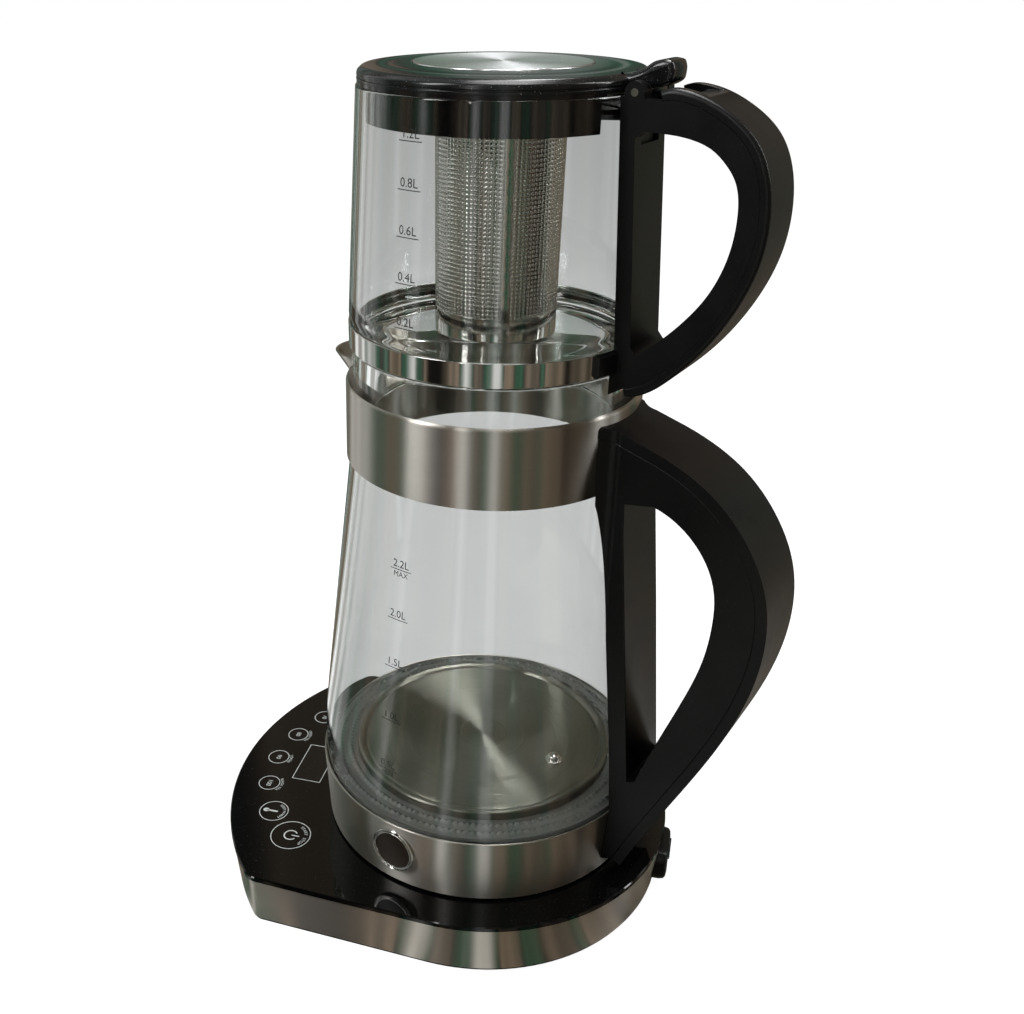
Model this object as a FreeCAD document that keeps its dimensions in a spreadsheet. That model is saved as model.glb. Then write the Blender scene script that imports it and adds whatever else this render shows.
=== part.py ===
import FreeCAD, Part
import math
import os
import re
import Sketcher

# Tea maker: a corded power base, a glass kettle that stands on it and a glass teapot that stands in
# the kettle's collar. Millimetres, +Z up. The origin is the middle of the underside, on the kettle's
# axis. Both handles point along +X, the kettle's pouring lip along -X, and its badge along -Y.

Vector = FreeCAD.Vector
doc = FreeCAD.newDocument("tea_maker")
sheet = doc.addObject("Spreadsheet::Sheet", "Sizes")

SIZES = {
    # Power base: a disc of base_radius with a control panel that reaches out to panel_reach.
    "base_height": 32.5,
    "base_radius": 98.7,
    "base_turn": 18.6,
    "panel_reach": 135.0,
    "panel_corner_angle": 42.0,
    "panel_corner_radius": 10.0,
    "panel_thickness": 2.5,
    "panel_edge_break": 0.5,
    "display_length": 31.4,
    "display_depth": 16.3,
    "display_setback": 39.7,
    "display_thickness": 1.6,
    "display_module_margin": 2.0,
    "fit_gap": 0.15,
    "band_inset": 0.4,
    "band_wall": 0.8,
    "band_bottom": 3.2,
    "band_lean": 2.6,
    "shell_floor": 2.6,
    "shell_wall": 2.2,
    "shell_foot_inset": 1.0,
    "foot_height": 1.5,
    "foot_radius": 7.0,
    "foot_circle": 80.0,
    "foot_angle": 45.0,
    "screw_head_radius": 3.0,
    "screw_head_height": 1.6,
    "screw_shank_radius": 1.5,
    "screw_length": 18.0,
    "screw_circle": 66.0,
    "screw_angle": 45.0,
    "boss_wall": 2.4,
    "board_length": 90.0,
    "board_depth": 34.0,
    "board_thickness": 1.6,
    "board_height": 24.0,
    "board_margin": 14.0,
    "board_post_radius": 3.0,
    "board_post_margin": 6.0,
    "outlet_stand": 3.6,
    "outlet_width": 40.0,
    "outlet_corner": 6.0,
    "outlet_bottom": 1.5,
    "outlet_depth": 12.0,
    "grommet_radius": 6.0,
    "grommet_bore": 3.6,
    "grommet_flange": 1.4,
    "connector_radius": 20.0,
    "connector_rise": 1.0,
    "connector_boss_radius": 14.0,
    "connector_boss_height": 9.0,
    "connector_groove": 3.0,
    "connector_pin_radius": 2.2,
    "connector_pin_rise": 2.0,
    "connector_wall": 3.0,
    "swivel_radius": 18.5,
    "swivel_thickness": 2.0,
    "running_gap": 0.3,
    # Kettle: steel foot ring, tapered glass, steel collar.
    "kettle_gap": 1.5,
    "ring_bottom_radius": 81.3,
    "ring_top_radius": 83.3,
    "ring_height": 35.0,
    "ring_wall": 1.0,
    "shelf_height": 30.0,
    "shelf_radius": 60.0,
    "badge_radius": 12.0,
    "badge_face_radius": 9.6,
    "badge_height": 19.5,
    "badge_stand": 1.6,
    "badge_recess": 0.7,
    "cover_thickness": 2.0,
    "cover_wall_height": 9.0,
    "cover_gap": 0.4,
    "cover_rib_radius": 62.0,
    "cover_rib_width": 3.0,
    "socket_radius": 24.0,
    "socket_height": 13.0,
    "socket_flange": 6.0,
    "socket_gap": 0.5,
    "plate_radius": 65.5,
    "plate_height": 39.0,
    "plate_thickness": 1.2,
    "plate_rim_width": 2.4,
    "plate_rim_rise": 0.8,
    "seal_drop": 1.6,
    "spreader_radius": 54.0,
    "spreader_thickness": 2.6,
    "element_radius": 45.0,
    "element_width": 7.0,
    "element_height": 5.2,
    "element_angle": 300.0,
    "probe_radius": 4.2,
    "probe_height": 4.0,
    "probe_reach": 42.0,
    "glass_wall": 2.6,
    "glass_belly_height": 68.0,
    "glass_belly_radius": 80.3,
    "glass_belly_curve": 700.0,
    "collar_bottom": 200.7,
    "collar_height": 36.4,
    "collar_radius": 67.5,
    "collar_top_radius": 67.1,
    "collar_wall": 1.4,
    "collar_lip": 1.2,
    "ledge_radius": 58.0,
    "ledge_thickness": 1.6,
    "foot_depth": 12.6,
    "spout_reach": 86.0,
    "spout_radius": 17.0,
    "spout_depth": 27.0,
    "spout_toe_radius": 2.5,
    "spout_wall": 1.5,
    "spout_floor": 10.0,
    # Kettle handle, a D-shaped loop of black plastic that follows the glass.
    "kettle_handle_reach": 71.4,
    "kettle_handle_width": 35.0,
    "kettle_handle_flare": 44.0,
    "kettle_handle_round": 2.5,
    "kettle_cover_depth": 5.0,
    "kettle_skin_gap": 0.6,
    "handle_root": 6.0,
    # Teapot: glass on a thick foot, steel strap in the waist, handle, strainer holder.
    "pot_foot_radius": 63.9,
    "pot_foot_round": 4.0,
    "pot_foot_height": 29.0,
    "pot_waist_radius": 64.3,
    "pot_belly_radius": 65.0,
    "pot_belly_height": 43.0,
    "pot_rim_radius": 60.0,
    "pot_height": 137.5,
    "pot_floor": 33.0,
    "pot_floor_thickness": 6.0,
    "pot_foot_wall": 6.0,
    "strap_height": 10.6,
    "strap_wall": 0.9,
    "bracket_angle": 42.0,
    "bracket_depth": 2.2,
    "bracket_margin": 1.2,
    "pot_handle_reach": 59.0,
    "pot_handle_width": 28.0,
    "pot_handle_round": 2.0,
    "pot_cover_depth": 4.0,
    "pot_skin_gap": 0.6,
    "saddle_depth": 3.6,
    "saddle_drop": 6.0,
    "hook_thickness": 0.45,
    "hook_angle": 12.0,
    "hook_drop": 8.0,
    "holder_flange": 1.5,
    "holder_skirt_radius": 56.0,
    "holder_skirt_depth": 13.8,
    "holder_wall": 1.6,
    "holder_notch_angle": 38.0,
    "holder_web": 2.0,
    "holder_window_angle": 52.0,
    "holder_hub_wall": 2.6,
    "strainer_radius": 27.5,
    "strainer_foot_radius": 26.7,
    "strainer_wall_thickness": 0.7,
    "strainer_foot_gap": 1.0,
    "strainer_sleeve": 0.8,
    "strainer_rim_radius": 32.5,
    "strainer_rim_thickness": 1.2,
    "strainer_hub_drop": 4.5,
    # Lid, hinged on the teapot's handle.
    "lid_radius": 59.5,
    "lid_height": 6.6,
    "lid_edge_height": 3.4,
    "lid_edge_curve": 3.6,
    "lid_thickness": 2.0,
    "lid_disc_radius": 36.7,
    "lid_disc_thickness": 1.6,
    "lid_disc_stand": 0.4,
    "liner_radius": 53.0,
    "liner_drop": 4.0,
    "liner_wall": 1.4,
    "lid_seal_drop": 0.8,
    "lid_seal_height": 2.2,
    "hinge_reach": 64.5,
    "knuckle_radius": 4.0,
    "knuckle_width": 15.0,
    "knuckle_gap": 0.8,
    "pin_radius": 1.5,
    "pin_gap": 0.05,
    "lever_length": 17.8,
    "lever_rise": 11.5,
    "lever_clearance": 0.7,
}

for row, (alias, number) in enumerate(SIZES.items(), start=1):
    sheet.set("A%d" % row, alias)
    sheet.set("B%d" % row, repr(number))
    sheet.setAlias("B%d" % row, alias)
doc.recompute()


def tied(text):
    """Puts the sheet's name before each size in an expression."""
    return re.sub(r"[a-z_]{3,}[a-z]", lambda found: ("Sizes." if found[0] in SIZES else "") + found[0], text)


def value(text):
    """Works an expression out to a number."""
    return float(sheet.evalExpression(text))


def put(item, height="0", turn="0"):
    """Stands a piece at a height, turned about the vertical axis."""
    item.Placement = FreeCAD.Placement(Vector(0, 0, 1), FreeCAD.Rotation(Vector(0, 0, 1), 1))
    item.setExpression(".Placement.Base.z", tied(height))
    item.setExpression(".Placement.Rotation.Angle", tied(turn))


def new_body(label, height="0", turn="0"):
    body = doc.addObject("PartDesign::Body", label)
    put(body, height, turn)
    return body


def new_sketch(body, label, role, offset):
    """A sketch on one of the body's own origin planes, moved along that plane's normal."""
    plane = next(item for item in body.Origin.OriginFeatures if item.Role == role)
    sketch = body.newObject("Sketcher::SketchObject", label)
    sketch.AttachmentSupport = [(plane, "")]
    sketch.MapMode = "FlatFace"
    sketch.setExpression(".AttachmentOffset.Base.z", tied(offset))
    return sketch


def outline(body, label, role, corners, offset="0"):
    """A closed profile. A corner is (x, y), or (x, y, radius) where an arc leaves it: the arc bulges to
    the right of the way round, or to the left for a radius written as a negative."""
    sketch = new_sketch(body, label, role, offset)
    places = [Vector(value(corner[0]), value(corner[1]), 0) for corner in corners]
    ends = []
    for index, corner in enumerate(corners):
        start = places[index]
        stop = places[(index + 1) % len(corners)]
        if len(corner) == 2:
            sketch.addGeometry(Part.LineSegment(start, stop))
            ends.append((1, 2))
            continue
        radius = value(corner[2])
        chord = stop - start
        side = Vector(-chord.y, chord.x, 0).normalize()
        rise = math.sqrt(radius ** 2 - chord.Length ** 2 / 4)
        centre = (start + stop) / 2 + side * math.copysign(rise, radius)
        angles = [math.atan2(place.y - centre.y, place.x - centre.x) for place in (start, stop)]
        if radius < 0:
            angles.reverse()
        circle = Part.Circle(centre, Vector(0, 0, 1), abs(radius))
        sketch.addGeometry(Part.ArcOfCircle(circle, angles[0], angles[1]))
        ends.append((1, 2) if radius > 0 else (2, 1))
    for index, corner in enumerate(corners):
        before = (index - 1) % len(corners)
        sketch.addConstraint(Sketcher.Constraint("Coincident", before, ends[before][1], index, ends[index][0]))
        for kind, text in (("DistanceX", corner[0]), ("DistanceY", corner[1])):
            named = Sketcher.Constraint(kind, -1, 1, index, ends[index][0], value(text))
            sketch.setExpression("Constraints[%d]" % sketch.addConstraint(named), tied(text))
        if len(corner) == 3:
            bend = Sketcher.Constraint("Radius", index, abs(value(corner[2])))
            sketch.setExpression("Constraints[%d]" % sketch.addConstraint(bend), tied("abs(%s)" % corner[2]))
    return sketch


def circles(body, label, role, discs, offset="0"):
    """Circles, each given as x, y and radius."""
    sketch = new_sketch(body, label, role, offset)
    for index, (x, y, radius) in enumerate(discs):
        centre = Vector(value(x), value(y), 0)
        sketch.addGeometry(Part.Circle(centre, Vector(0, 0, 1), value(radius)))
        for kind, text in (("DistanceX", x), ("DistanceY", y)):
            named = Sketcher.Constraint(kind, -1, 1, index, 3, value(text))
            sketch.setExpression("Constraints[%d]" % sketch.addConstraint(named), tied(text))
        size = Sketcher.Constraint("Radius", index, value(radius))
        sketch.setExpression("Constraints[%d]" % sketch.addConstraint(size), tied(radius))
    return sketch


def raise_up(body, sketch, length, taper="0"):
    """Pads a sketch along its normal."""
    pad = body.newObject("PartDesign::Pad", sketch.Label + "_pad")
    pad.Profile = sketch
    pad.setExpression("Length", tied(length))
    pad.setExpression("TaperAngle", tied(taper))
    sketch.Visibility = False
    doc.recompute()
    return pad


def cut_down(body, sketch, length, upwards=False):
    """Pockets a sketch against its normal, or along it."""
    pocket = body.newObject("PartDesign::Pocket", sketch.Label + "_cut")
    pocket.Profile = sketch
    pocket.Reversed = upwards
    pocket.setExpression("Length", tied(length))
    doc.recompute()
    return pocket


def spin(body, sketch, kind="Revolution", angle="360"):
    """Turns an upright profile about the vertical axis, as material or as a groove."""
    turned = body.newObject("PartDesign::" + kind, sketch.Label + "_" + kind.lower())
    turned.Profile = sketch
    turned.ReferenceAxis = (sketch, ["V_Axis"])
    turned.setExpression("Angle", tied(angle))
    doc.recompute()
    return turned


def polar(body, feature, count):
    """Repeats a feature round the vertical axis."""
    axis = next(item for item in body.Origin.OriginFeatures if item.Role == "Z_Axis")
    pattern = body.newObject("PartDesign::PolarPattern", feature.Label + "_round")
    pattern.Originals = [feature]
    pattern.Axis = (axis, [""])
    pattern.Angle = 360
    pattern.Occurrences = count
    body.Tip = pattern
    doc.recompute()
    return pattern


def turned_piece(label, corners, height="0", turn="0", angle="360"):
    """A body made from one upright profile turned about the axis."""
    body = new_body(label, height, turn)
    spin(body, outline(body, label + "_profile", "XZ_Plane", corners), angle=angle)
    return body


def free_shape(label, shape, height="0"):
    """A piece of free form, kept as its shape."""
    feature = doc.addObject("Part::Feature", label)
    feature.Shape = shape
    put(feature, height)
    return feature


# Heights of the three bodies above the table.
KETTLE = "base_height + kettle_gap"
COLLAR_TOP = "collar_bottom + collar_height"
POT = "base_height + kettle_gap + collar_bottom + collar_height - foot_depth"
LID_SEAT = "pot_height + holder_flange"
LID = POT + " + " + LID_SEAT

# Power base

DISPLAY_X = "(display_setback - panel_reach)"
BASE_TANGENT = "(panel_corner_angle * 1 deg + acos((base_radius - panel_corner_radius) / (panel_reach - panel_corner_radius)))"


def base_outline(body, label, inset, offset="0"):
    """The base seen from above, shrunk by an inset. The round base and the panel's far edge share one
    centre, and straight sides run from the disc to the panel's rounded corners."""
    disc = "(base_radius - (%s))" % inset
    corner = "(panel_corner_radius - (%s))" % inset
    edge = "(panel_reach - (%s))" % inset
    middle = "(panel_reach - panel_corner_radius)"
    toward = "cos(%s)" % BASE_TANGENT
    across = "sin(%s)" % BASE_TANGENT
    half = [
        ("-%s * cos(panel_corner_angle)" % edge, "-%s * sin(panel_corner_angle)" % edge, corner),
        ("-%s * cos(panel_corner_angle) - %s * %s" % (middle, corner, toward),
         "-%s * sin(panel_corner_angle) - %s * %s" % (middle, corner, across)),
        ("-%s * %s" % (disc, toward), "-%s * %s" % (disc, across), disc),
    ]
    mirrored = [
        ("-%s * %s" % (disc, toward), "%s * %s" % (disc, across)),
        ("-%s * cos(panel_corner_angle) - %s * %s" % (middle, corner, toward),
         "%s * sin(panel_corner_angle) + %s * %s" % (middle, corner, across), corner),
        ("-%s * cos(panel_corner_angle)" % edge, "%s * sin(panel_corner_angle)" % edge, edge),
    ]
    return outline(body, label, "XY_Plane", half + [(disc, "0", disc)] + mirrored, offset)


def rectangle(body, label, x, y, length, depth, offset="0"):
    """A rectangle about a middle, length along Y and depth along X."""
    low_x = "(%s) - (%s) / 2" % (x, depth)
    high_x = "(%s) + (%s) / 2" % (x, depth)
    low_y = "(%s) - (%s) / 2" % (y, length)
    high_y = "(%s) + (%s) / 2" % (y, length)
    corners = [(low_x, low_y), (high_x, low_y), (high_x, high_y), (low_x, high_y)]
    return outline(body, label, "XY_Plane", corners, offset)


def base_piece(label, height="0"):
    return new_body(label, height, "base_turn")


# The glossy top, pierced for the connector and the display.
panel = base_piece("base_panel", "base_height - panel_thickness")
raise_up(panel, base_outline(panel, "panel_outline", "0"), "panel_thickness - panel_edge_break")
panel_edge = base_outline(panel, "panel_edge", "0", "panel_thickness - panel_edge_break")
raise_up(panel, panel_edge, "panel_edge_break", "-45")
panel_hole = circles(panel, "connector_hole", "XY_Plane", [("0", "0", "connector_radius + fit_gap")], "panel_thickness")
cut_down(panel, panel_hole, "panel_thickness")
panel_window = rectangle(panel, "display_hole", DISPLAY_X, "0", "display_length", "display_depth", "panel_thickness")
cut_down(panel, panel_window, "panel_thickness")

# The dark window over the display, flush with the panel.
window = base_piece("display_window", "base_height - display_thickness")
window_outline = rectangle(window, "window_outline", DISPLAY_X, "0",
                           "display_length - 2 * fit_gap", "display_depth - 2 * fit_gap")
raise_up(window, window_outline, "display_thickness")

# The brushed steel side band, which leans in towards the table.
BAND_HEIGHT = "(base_height - panel_thickness - band_bottom)"
BAND_TAPER = "atan(band_lean / %s)" % BAND_HEIGHT
band = base_piece("base_band", "band_bottom")
raise_up(band, base_outline(band, "band_outline", "band_inset + band_lean"), BAND_HEIGHT, BAND_TAPER)
band_inside = base_outline(band, "band_inside", "band_inset + band_lean + band_wall")
band_core = cut_down(band, band_inside, BAND_HEIGHT, upwards=True)
band_core.setExpression("TaperAngle", tied(BAND_TAPER))
doc.recompute()
band_gap = rectangle(band, "outlet_gap", "base_radius", "0", "outlet_width + 2 * fit_gap", "base_radius", BAND_HEIGHT)
cut_down(band, band_gap, BAND_HEIGHT)

# The black lower shell: floor, inner wall, connector tube, screw bosses and board posts.
shell = base_piece("base_shell", "foot_height")
SHELL_INSET = "(band_inset + band_lean + shell_foot_inset)"
SHELL_LINE = "(band_bottom - foot_height)"
SHELL_TOP = "(base_height - panel_thickness - foot_height)"
WALL_INSET = "(band_inset + band_lean + band_wall + fit_gap)"
raise_up(shell, base_outline(shell, "floor_outline", SHELL_INSET), SHELL_LINE)
raise_up(shell, base_outline(shell, "wall_outline", WALL_INSET, SHELL_LINE), SHELL_TOP + " - " + SHELL_LINE)
shell_hollow = base_outline(shell, "hollow_outline", WALL_INSET + " + shell_wall", SHELL_TOP)
cut_down(shell, shell_hollow, SHELL_TOP + " - shell_floor")
tube = circles(shell, "connector_tube", "XY_Plane",
               [("0", "0", "connector_radius + fit_gap + boss_wall")], "shell_floor")
raise_up(shell, tube, SHELL_TOP + " - shell_floor")
tube_bore = circles(shell, "connector_bore", "XY_Plane", [("0", "0", "connector_radius + fit_gap")], SHELL_TOP)
cut_down(shell, tube_bore, SHELL_TOP + " - shell_floor")
boss = circles(shell, "screw_boss", "XY_Plane",
               [("screw_circle * cos(screw_angle)", "screw_circle * sin(screw_angle)", "screw_head_radius + fit_gap + boss_wall")],
               "shell_floor")
polar(shell, raise_up(shell, boss, SHELL_TOP + " - shell_floor"), 4)
boss_bore = circles(shell, "screw_bore", "XY_Plane",
                    [("screw_circle * cos(screw_angle)", "screw_circle * sin(screw_angle)", "screw_shank_radius + fit_gap")])
polar(shell, cut_down(shell, boss_bore, "screw_length + 1", upwards=True), 4)
boss_sink = circles(shell, "screw_sink", "XY_Plane",
                    [("screw_circle * cos(screw_angle)", "screw_circle * sin(screw_angle)", "screw_head_radius + fit_gap")])
polar(shell, cut_down(shell, boss_sink, "screw_head_height + 0.4", upwards=True), 4)
POST_X = "(board_depth / 2 - board_post_margin)"
POST_Y = "(board_length / 2 - board_post_margin)"
BOARD_X = "(-panel_reach + band_inset + band_wall + shell_wall + board_depth / 2 + board_margin)"
posts = circles(shell, "board_posts", "XY_Plane",
                [("%s %s %s" % (BOARD_X, side, POST_X), "%s %s" % (end, POST_Y), "board_post_radius")
                 for side in "+-" for end in ("", "-")], "shell_floor")
raise_up(shell, posts, "board_height - foot_height - shell_floor")
rear_gap = rectangle(shell, "outlet_gap", "base_radius", "0",
                     "outlet_width + 2 * fit_gap", "2 * outlet_depth", SHELL_TOP)
cut_down(shell, rear_gap, SHELL_TOP + " - shell_floor")

# Rubber feet: four on a circle and one under the connector.
foot_places = [("0", "0")]
for quarter in range(4):
    angle = "(foot_angle + %d)" % (90 * quarter)
    foot_places.append(("foot_circle * cos(%s)" % angle, "foot_circle * sin(%s)" % angle))
for number, (x, y) in enumerate(foot_places, start=1):
    foot = base_piece("base_foot_%d" % number)
    raise_up(foot, circles(foot, "foot_outline", "XY_Plane", [(x, y, "foot_radius")]), "foot_height")

# Screws that hold the shell to the panel, each with a round head and a plain shank.
for number in range(1, 5):
    x = "screw_circle * cos(screw_angle + %d)" % (90 * number)
    y = "screw_circle * sin(screw_angle + %d)" % (90 * number)
    screw = base_piece("base_screw_%d" % number, "foot_height + 0.2")
    raise_up(screw, circles(screw, "head", "XY_Plane", [(x, y, "screw_head_radius")]), "screw_head_height")
    raise_up(screw, circles(screw, "shank", "XY_Plane", [(x, y, "screw_shank_radius")]), "screw_length")

# The cord outlet housing at the back of the base, with its rubber grommet.
outlet = base_piece("cord_outlet", "outlet_bottom + shell_floor")
OUTLET_IN = "(base_radius - outlet_depth + fit_gap)"
OUTLET_OUT = "(base_radius + outlet_stand)"
OUTLET_HALF = "(outlet_width / 2)"
OUTLET_HEIGHT = "(base_height - panel_thickness - outlet_bottom - shell_floor)"
outlet_corners = [
    (OUTLET_IN, "-" + OUTLET_HALF),
    (OUTLET_OUT + " - outlet_corner", "-" + OUTLET_HALF, "outlet_corner"),
    (OUTLET_OUT, "-%s + outlet_corner" % OUTLET_HALF),
    (OUTLET_OUT, "%s - outlet_corner" % OUTLET_HALF, "outlet_corner"),
    (OUTLET_OUT + " - outlet_corner", OUTLET_HALF),
    (OUTLET_IN, OUTLET_HALF),
]
raise_up(outlet, outline(outlet, "outlet_outline", "XY_Plane", outlet_corners), OUTLET_HEIGHT)
outlet_bore = circles(outlet, "outlet_bore", "YZ_Plane",
                      [("0", OUTLET_HEIGHT + " / 2", "grommet_radius")], OUTLET_OUT + " + 1")
cut_down(outlet, outlet_bore, OUTLET_OUT)

grommet = base_piece("cord_grommet", "outlet_bottom + shell_floor")
grommet_body = circles(grommet, "grommet_body", "YZ_Plane",
                       [("0", OUTLET_HEIGHT + " / 2", "grommet_radius - 0.05")], OUTLET_IN)
raise_up(grommet, grommet_body, OUTLET_OUT + " - " + OUTLET_IN)
grommet_flange = circles(grommet, "grommet_flange", "YZ_Plane",
                         [("0", OUTLET_HEIGHT + " / 2", "grommet_radius + grommet_flange")], OUTLET_OUT)
raise_up(grommet, grommet_flange, "grommet_flange")
grommet_hole = circles(grommet, "grommet_hole", "YZ_Plane",
                       [("0", OUTLET_HEIGHT + " / 2", "grommet_bore")], OUTLET_OUT + " + grommet_flange")
cut_down(grommet, grommet_hole, OUTLET_OUT)

# The control board under the panel, and the display module between it and the window.
board = base_piece("control_board", "board_height")
raise_up(board, rectangle(board, "board_outline", BOARD_X, "0", "board_length", "board_depth"), "board_thickness")
module = base_piece("display_module", "board_height + board_thickness")
module_outline = rectangle(module, "module_outline", DISPLAY_X + " - display_module_margin", "0",
                           "display_length + 2 * display_module_margin", "display_depth")
raise_up(module, module_outline, "base_height - panel_thickness - board_height - board_thickness")

# The round connector that the kettle stands over: flange, grooved boss and middle pin.
CONNECTOR_FLANGE = "(base_height + connector_rise - foot_height - shell_floor)"
BOSS_TOP = "(%s + connector_boss_height)" % CONNECTOR_FLANGE
connector = turned_piece("base_connector", [
    ("0", "0"),
    ("connector_radius", "0"),
    ("connector_radius", CONNECTOR_FLANGE),
    ("connector_boss_radius", CONNECTOR_FLANGE),
    ("connector_boss_radius", BOSS_TOP),
    ("connector_boss_radius - connector_groove", BOSS_TOP),
    ("connector_boss_radius - connector_groove", CONNECTOR_FLANGE),
    ("connector_pin_radius + connector_groove", CONNECTOR_FLANGE),
    ("connector_pin_radius + connector_groove", BOSS_TOP + " - connector_groove"),
    ("connector_pin_radius", BOSS_TOP + " - connector_groove"),
    ("connector_pin_radius", BOSS_TOP + " + connector_pin_rise"),
    ("0", BOSS_TOP + " + connector_pin_rise"),
], "foot_height + shell_floor", "base_turn")

# The ring on the connector that turns with the kettle.
swivel = turned_piece("connector_swivel", [
    ("connector_boss_radius + running_gap", "0"),
    ("swivel_radius", "0"),
    ("swivel_radius", "swivel_thickness"),
    ("connector_boss_radius + running_gap", "swivel_thickness"),
], "base_height + connector_rise")

# Kettle

# The steel foot ring with the shelf that carries glass and heating plate.
RING_SLOPE = "((ring_top_radius - ring_bottom_radius) / ring_height)"
ring = turned_piece("kettle_ring", [
    ("ring_bottom_radius - ring_wall", "0"),
    ("ring_bottom_radius", "0"),
    ("ring_top_radius", "ring_height"),
    ("ring_top_radius - ring_wall", "ring_height"),
    ("ring_top_radius - ring_wall - %s * (ring_height - shelf_height - ring_wall)" % RING_SLOPE,
     "shelf_height + ring_wall"),
    ("shelf_radius", "shelf_height + ring_wall"),
    ("shelf_radius", "shelf_height"),
    ("ring_bottom_radius - ring_wall + %s * shelf_height" % RING_SLOPE, "shelf_height"),
], KETTLE)

# The round badge on the ring: a bright bezel with a dark dished face, both cut to the ring's slope.
BADGE_SKIN = "(ring_bottom_radius + %s * badge_height)" % RING_SLOPE


def badge_piece(label, discs, stand):
    body = new_body(label, KETTLE)
    depth = "(ring_wall + badge_stand + badge_radius * badge_radius / ring_bottom_radius)"
    face = circles(body, label + "_outline", "XZ_Plane", discs, "%s + %s" % (BADGE_SKIN, stand))
    pad = raise_up(body, face, depth)
    pad.Reversed = True
    doc.recompute()
    clear = [
        ("0", "0"),
        ("ring_bottom_radius + 0.02", "0"),
        ("ring_top_radius + 0.02", "ring_height"),
        ("0", "ring_height"),
    ]
    spin(body, outline(body, label + "_back", "XZ_Plane", clear), "Groove")
    return body


bezel = badge_piece("badge_bezel", [("0", "badge_height", "badge_radius"),
                                    ("0", "badge_height", "badge_face_radius")], "badge_stand")
face = badge_piece("badge_face", [("0", "badge_height", "badge_face_radius")], "badge_stand - badge_recess")

# The plastic cover under the kettle, standing on its round rib.
COVER_EDGE = "(ring_bottom_radius - ring_wall - cover_gap)"
cover = turned_piece("kettle_cover", [
    ("socket_radius + fit_gap", "kettle_gap"),
    ("cover_rib_radius", "kettle_gap"),
    ("cover_rib_radius", "-kettle_gap"),
    ("cover_rib_radius + cover_rib_width", "-kettle_gap"),
    ("cover_rib_radius + cover_rib_width", "kettle_gap"),
    (COVER_EDGE, "kettle_gap"),
    (COVER_EDGE, "kettle_gap + cover_wall_height"),
    (COVER_EDGE + " - cover_thickness", "kettle_gap + cover_wall_height"),
    (COVER_EDGE + " - cover_thickness", "kettle_gap + cover_thickness"),
    ("socket_radius + fit_gap", "kettle_gap + cover_thickness"),
], KETTLE)

# The kettle's half of the connector, a socket that drops over the base's boss.
SOCKET_LOW = "(connector_rise + swivel_thickness - kettle_gap)"
SOCKET_ROOF = "(connector_rise + connector_boss_height + connector_pin_rise - kettle_gap + socket_gap)"
socket = turned_piece("kettle_socket", [
    ("connector_boss_radius + socket_gap", SOCKET_LOW),
    ("socket_radius", SOCKET_LOW),
    ("socket_radius", "kettle_gap + cover_thickness"),
    ("socket_radius + socket_flange", "kettle_gap + cover_thickness"),
    ("socket_radius + socket_flange", "kettle_gap + 2 * cover_thickness"),
    ("socket_radius", "kettle_gap + 2 * cover_thickness"),
    ("socket_radius", "socket_height"),
    ("0", "socket_height"),
    ("0", SOCKET_ROOF),
    ("connector_boss_radius + socket_gap", SOCKET_ROOF),
], KETTLE)

# The heating plate: a steel disc with a raised rim, over an aluminium spreader and the element.
plate = turned_piece("heating_plate", [
    ("0", "plate_height - plate_thickness"),
    ("plate_radius - plate_rim_width", "plate_height - plate_thickness"),
    ("plate_radius - plate_rim_width", "shelf_height + ring_wall"),
    ("plate_radius", "shelf_height + ring_wall"),
    ("plate_radius", "plate_height + plate_rim_rise"),
    ("plate_radius - plate_rim_width", "plate_height + plate_rim_rise", "-20"),
    ("plate_radius - 2 * plate_rim_width", "plate_height"),
    ("0", "plate_height"),
], KETTLE)
spreader = new_body("heat_spreader", KETTLE + " + plate_height - plate_thickness - spreader_thickness")
raise_up(spreader, circles(spreader, "spreader_outline", "XY_Plane", [("0", "0", "spreader_radius")]),
         "spreader_thickness")
ELEMENT_TOP = "(plate_height - plate_thickness - spreader_thickness)"
element = turned_piece("heating_element", [
    ("element_radius - element_width / 2", ELEMENT_TOP + " - element_height + 2"),
    ("element_radius - element_width / 2 + 2", ELEMENT_TOP + " - element_height"),
    ("element_radius + element_width / 2 - 2", ELEMENT_TOP + " - element_height"),
    ("element_radius + element_width / 2", ELEMENT_TOP + " - element_height + 2"),
    ("element_radius + element_width / 2", ELEMENT_TOP),
    ("element_radius - element_width / 2", ELEMENT_TOP),
], KETTLE, "(360 - element_angle) / 2", "element_angle")

# The small domed temperature probe that stands on the plate.
probe = new_body("temperature_probe", KETTLE + " + plate_height")
probe_foot = circles(probe, "probe_foot", "XY_Plane", [("probe_reach", "0", "probe_radius")])
raise_up(probe, probe_foot, "probe_height / 4")
probe_dome = circles(probe, "probe_dome", "XY_Plane", [("probe_reach", "0", "probe_radius * 0.7")], "probe_height / 4")
raise_up(probe, probe_dome, "probe_height * 3 / 4", "-12")

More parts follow.
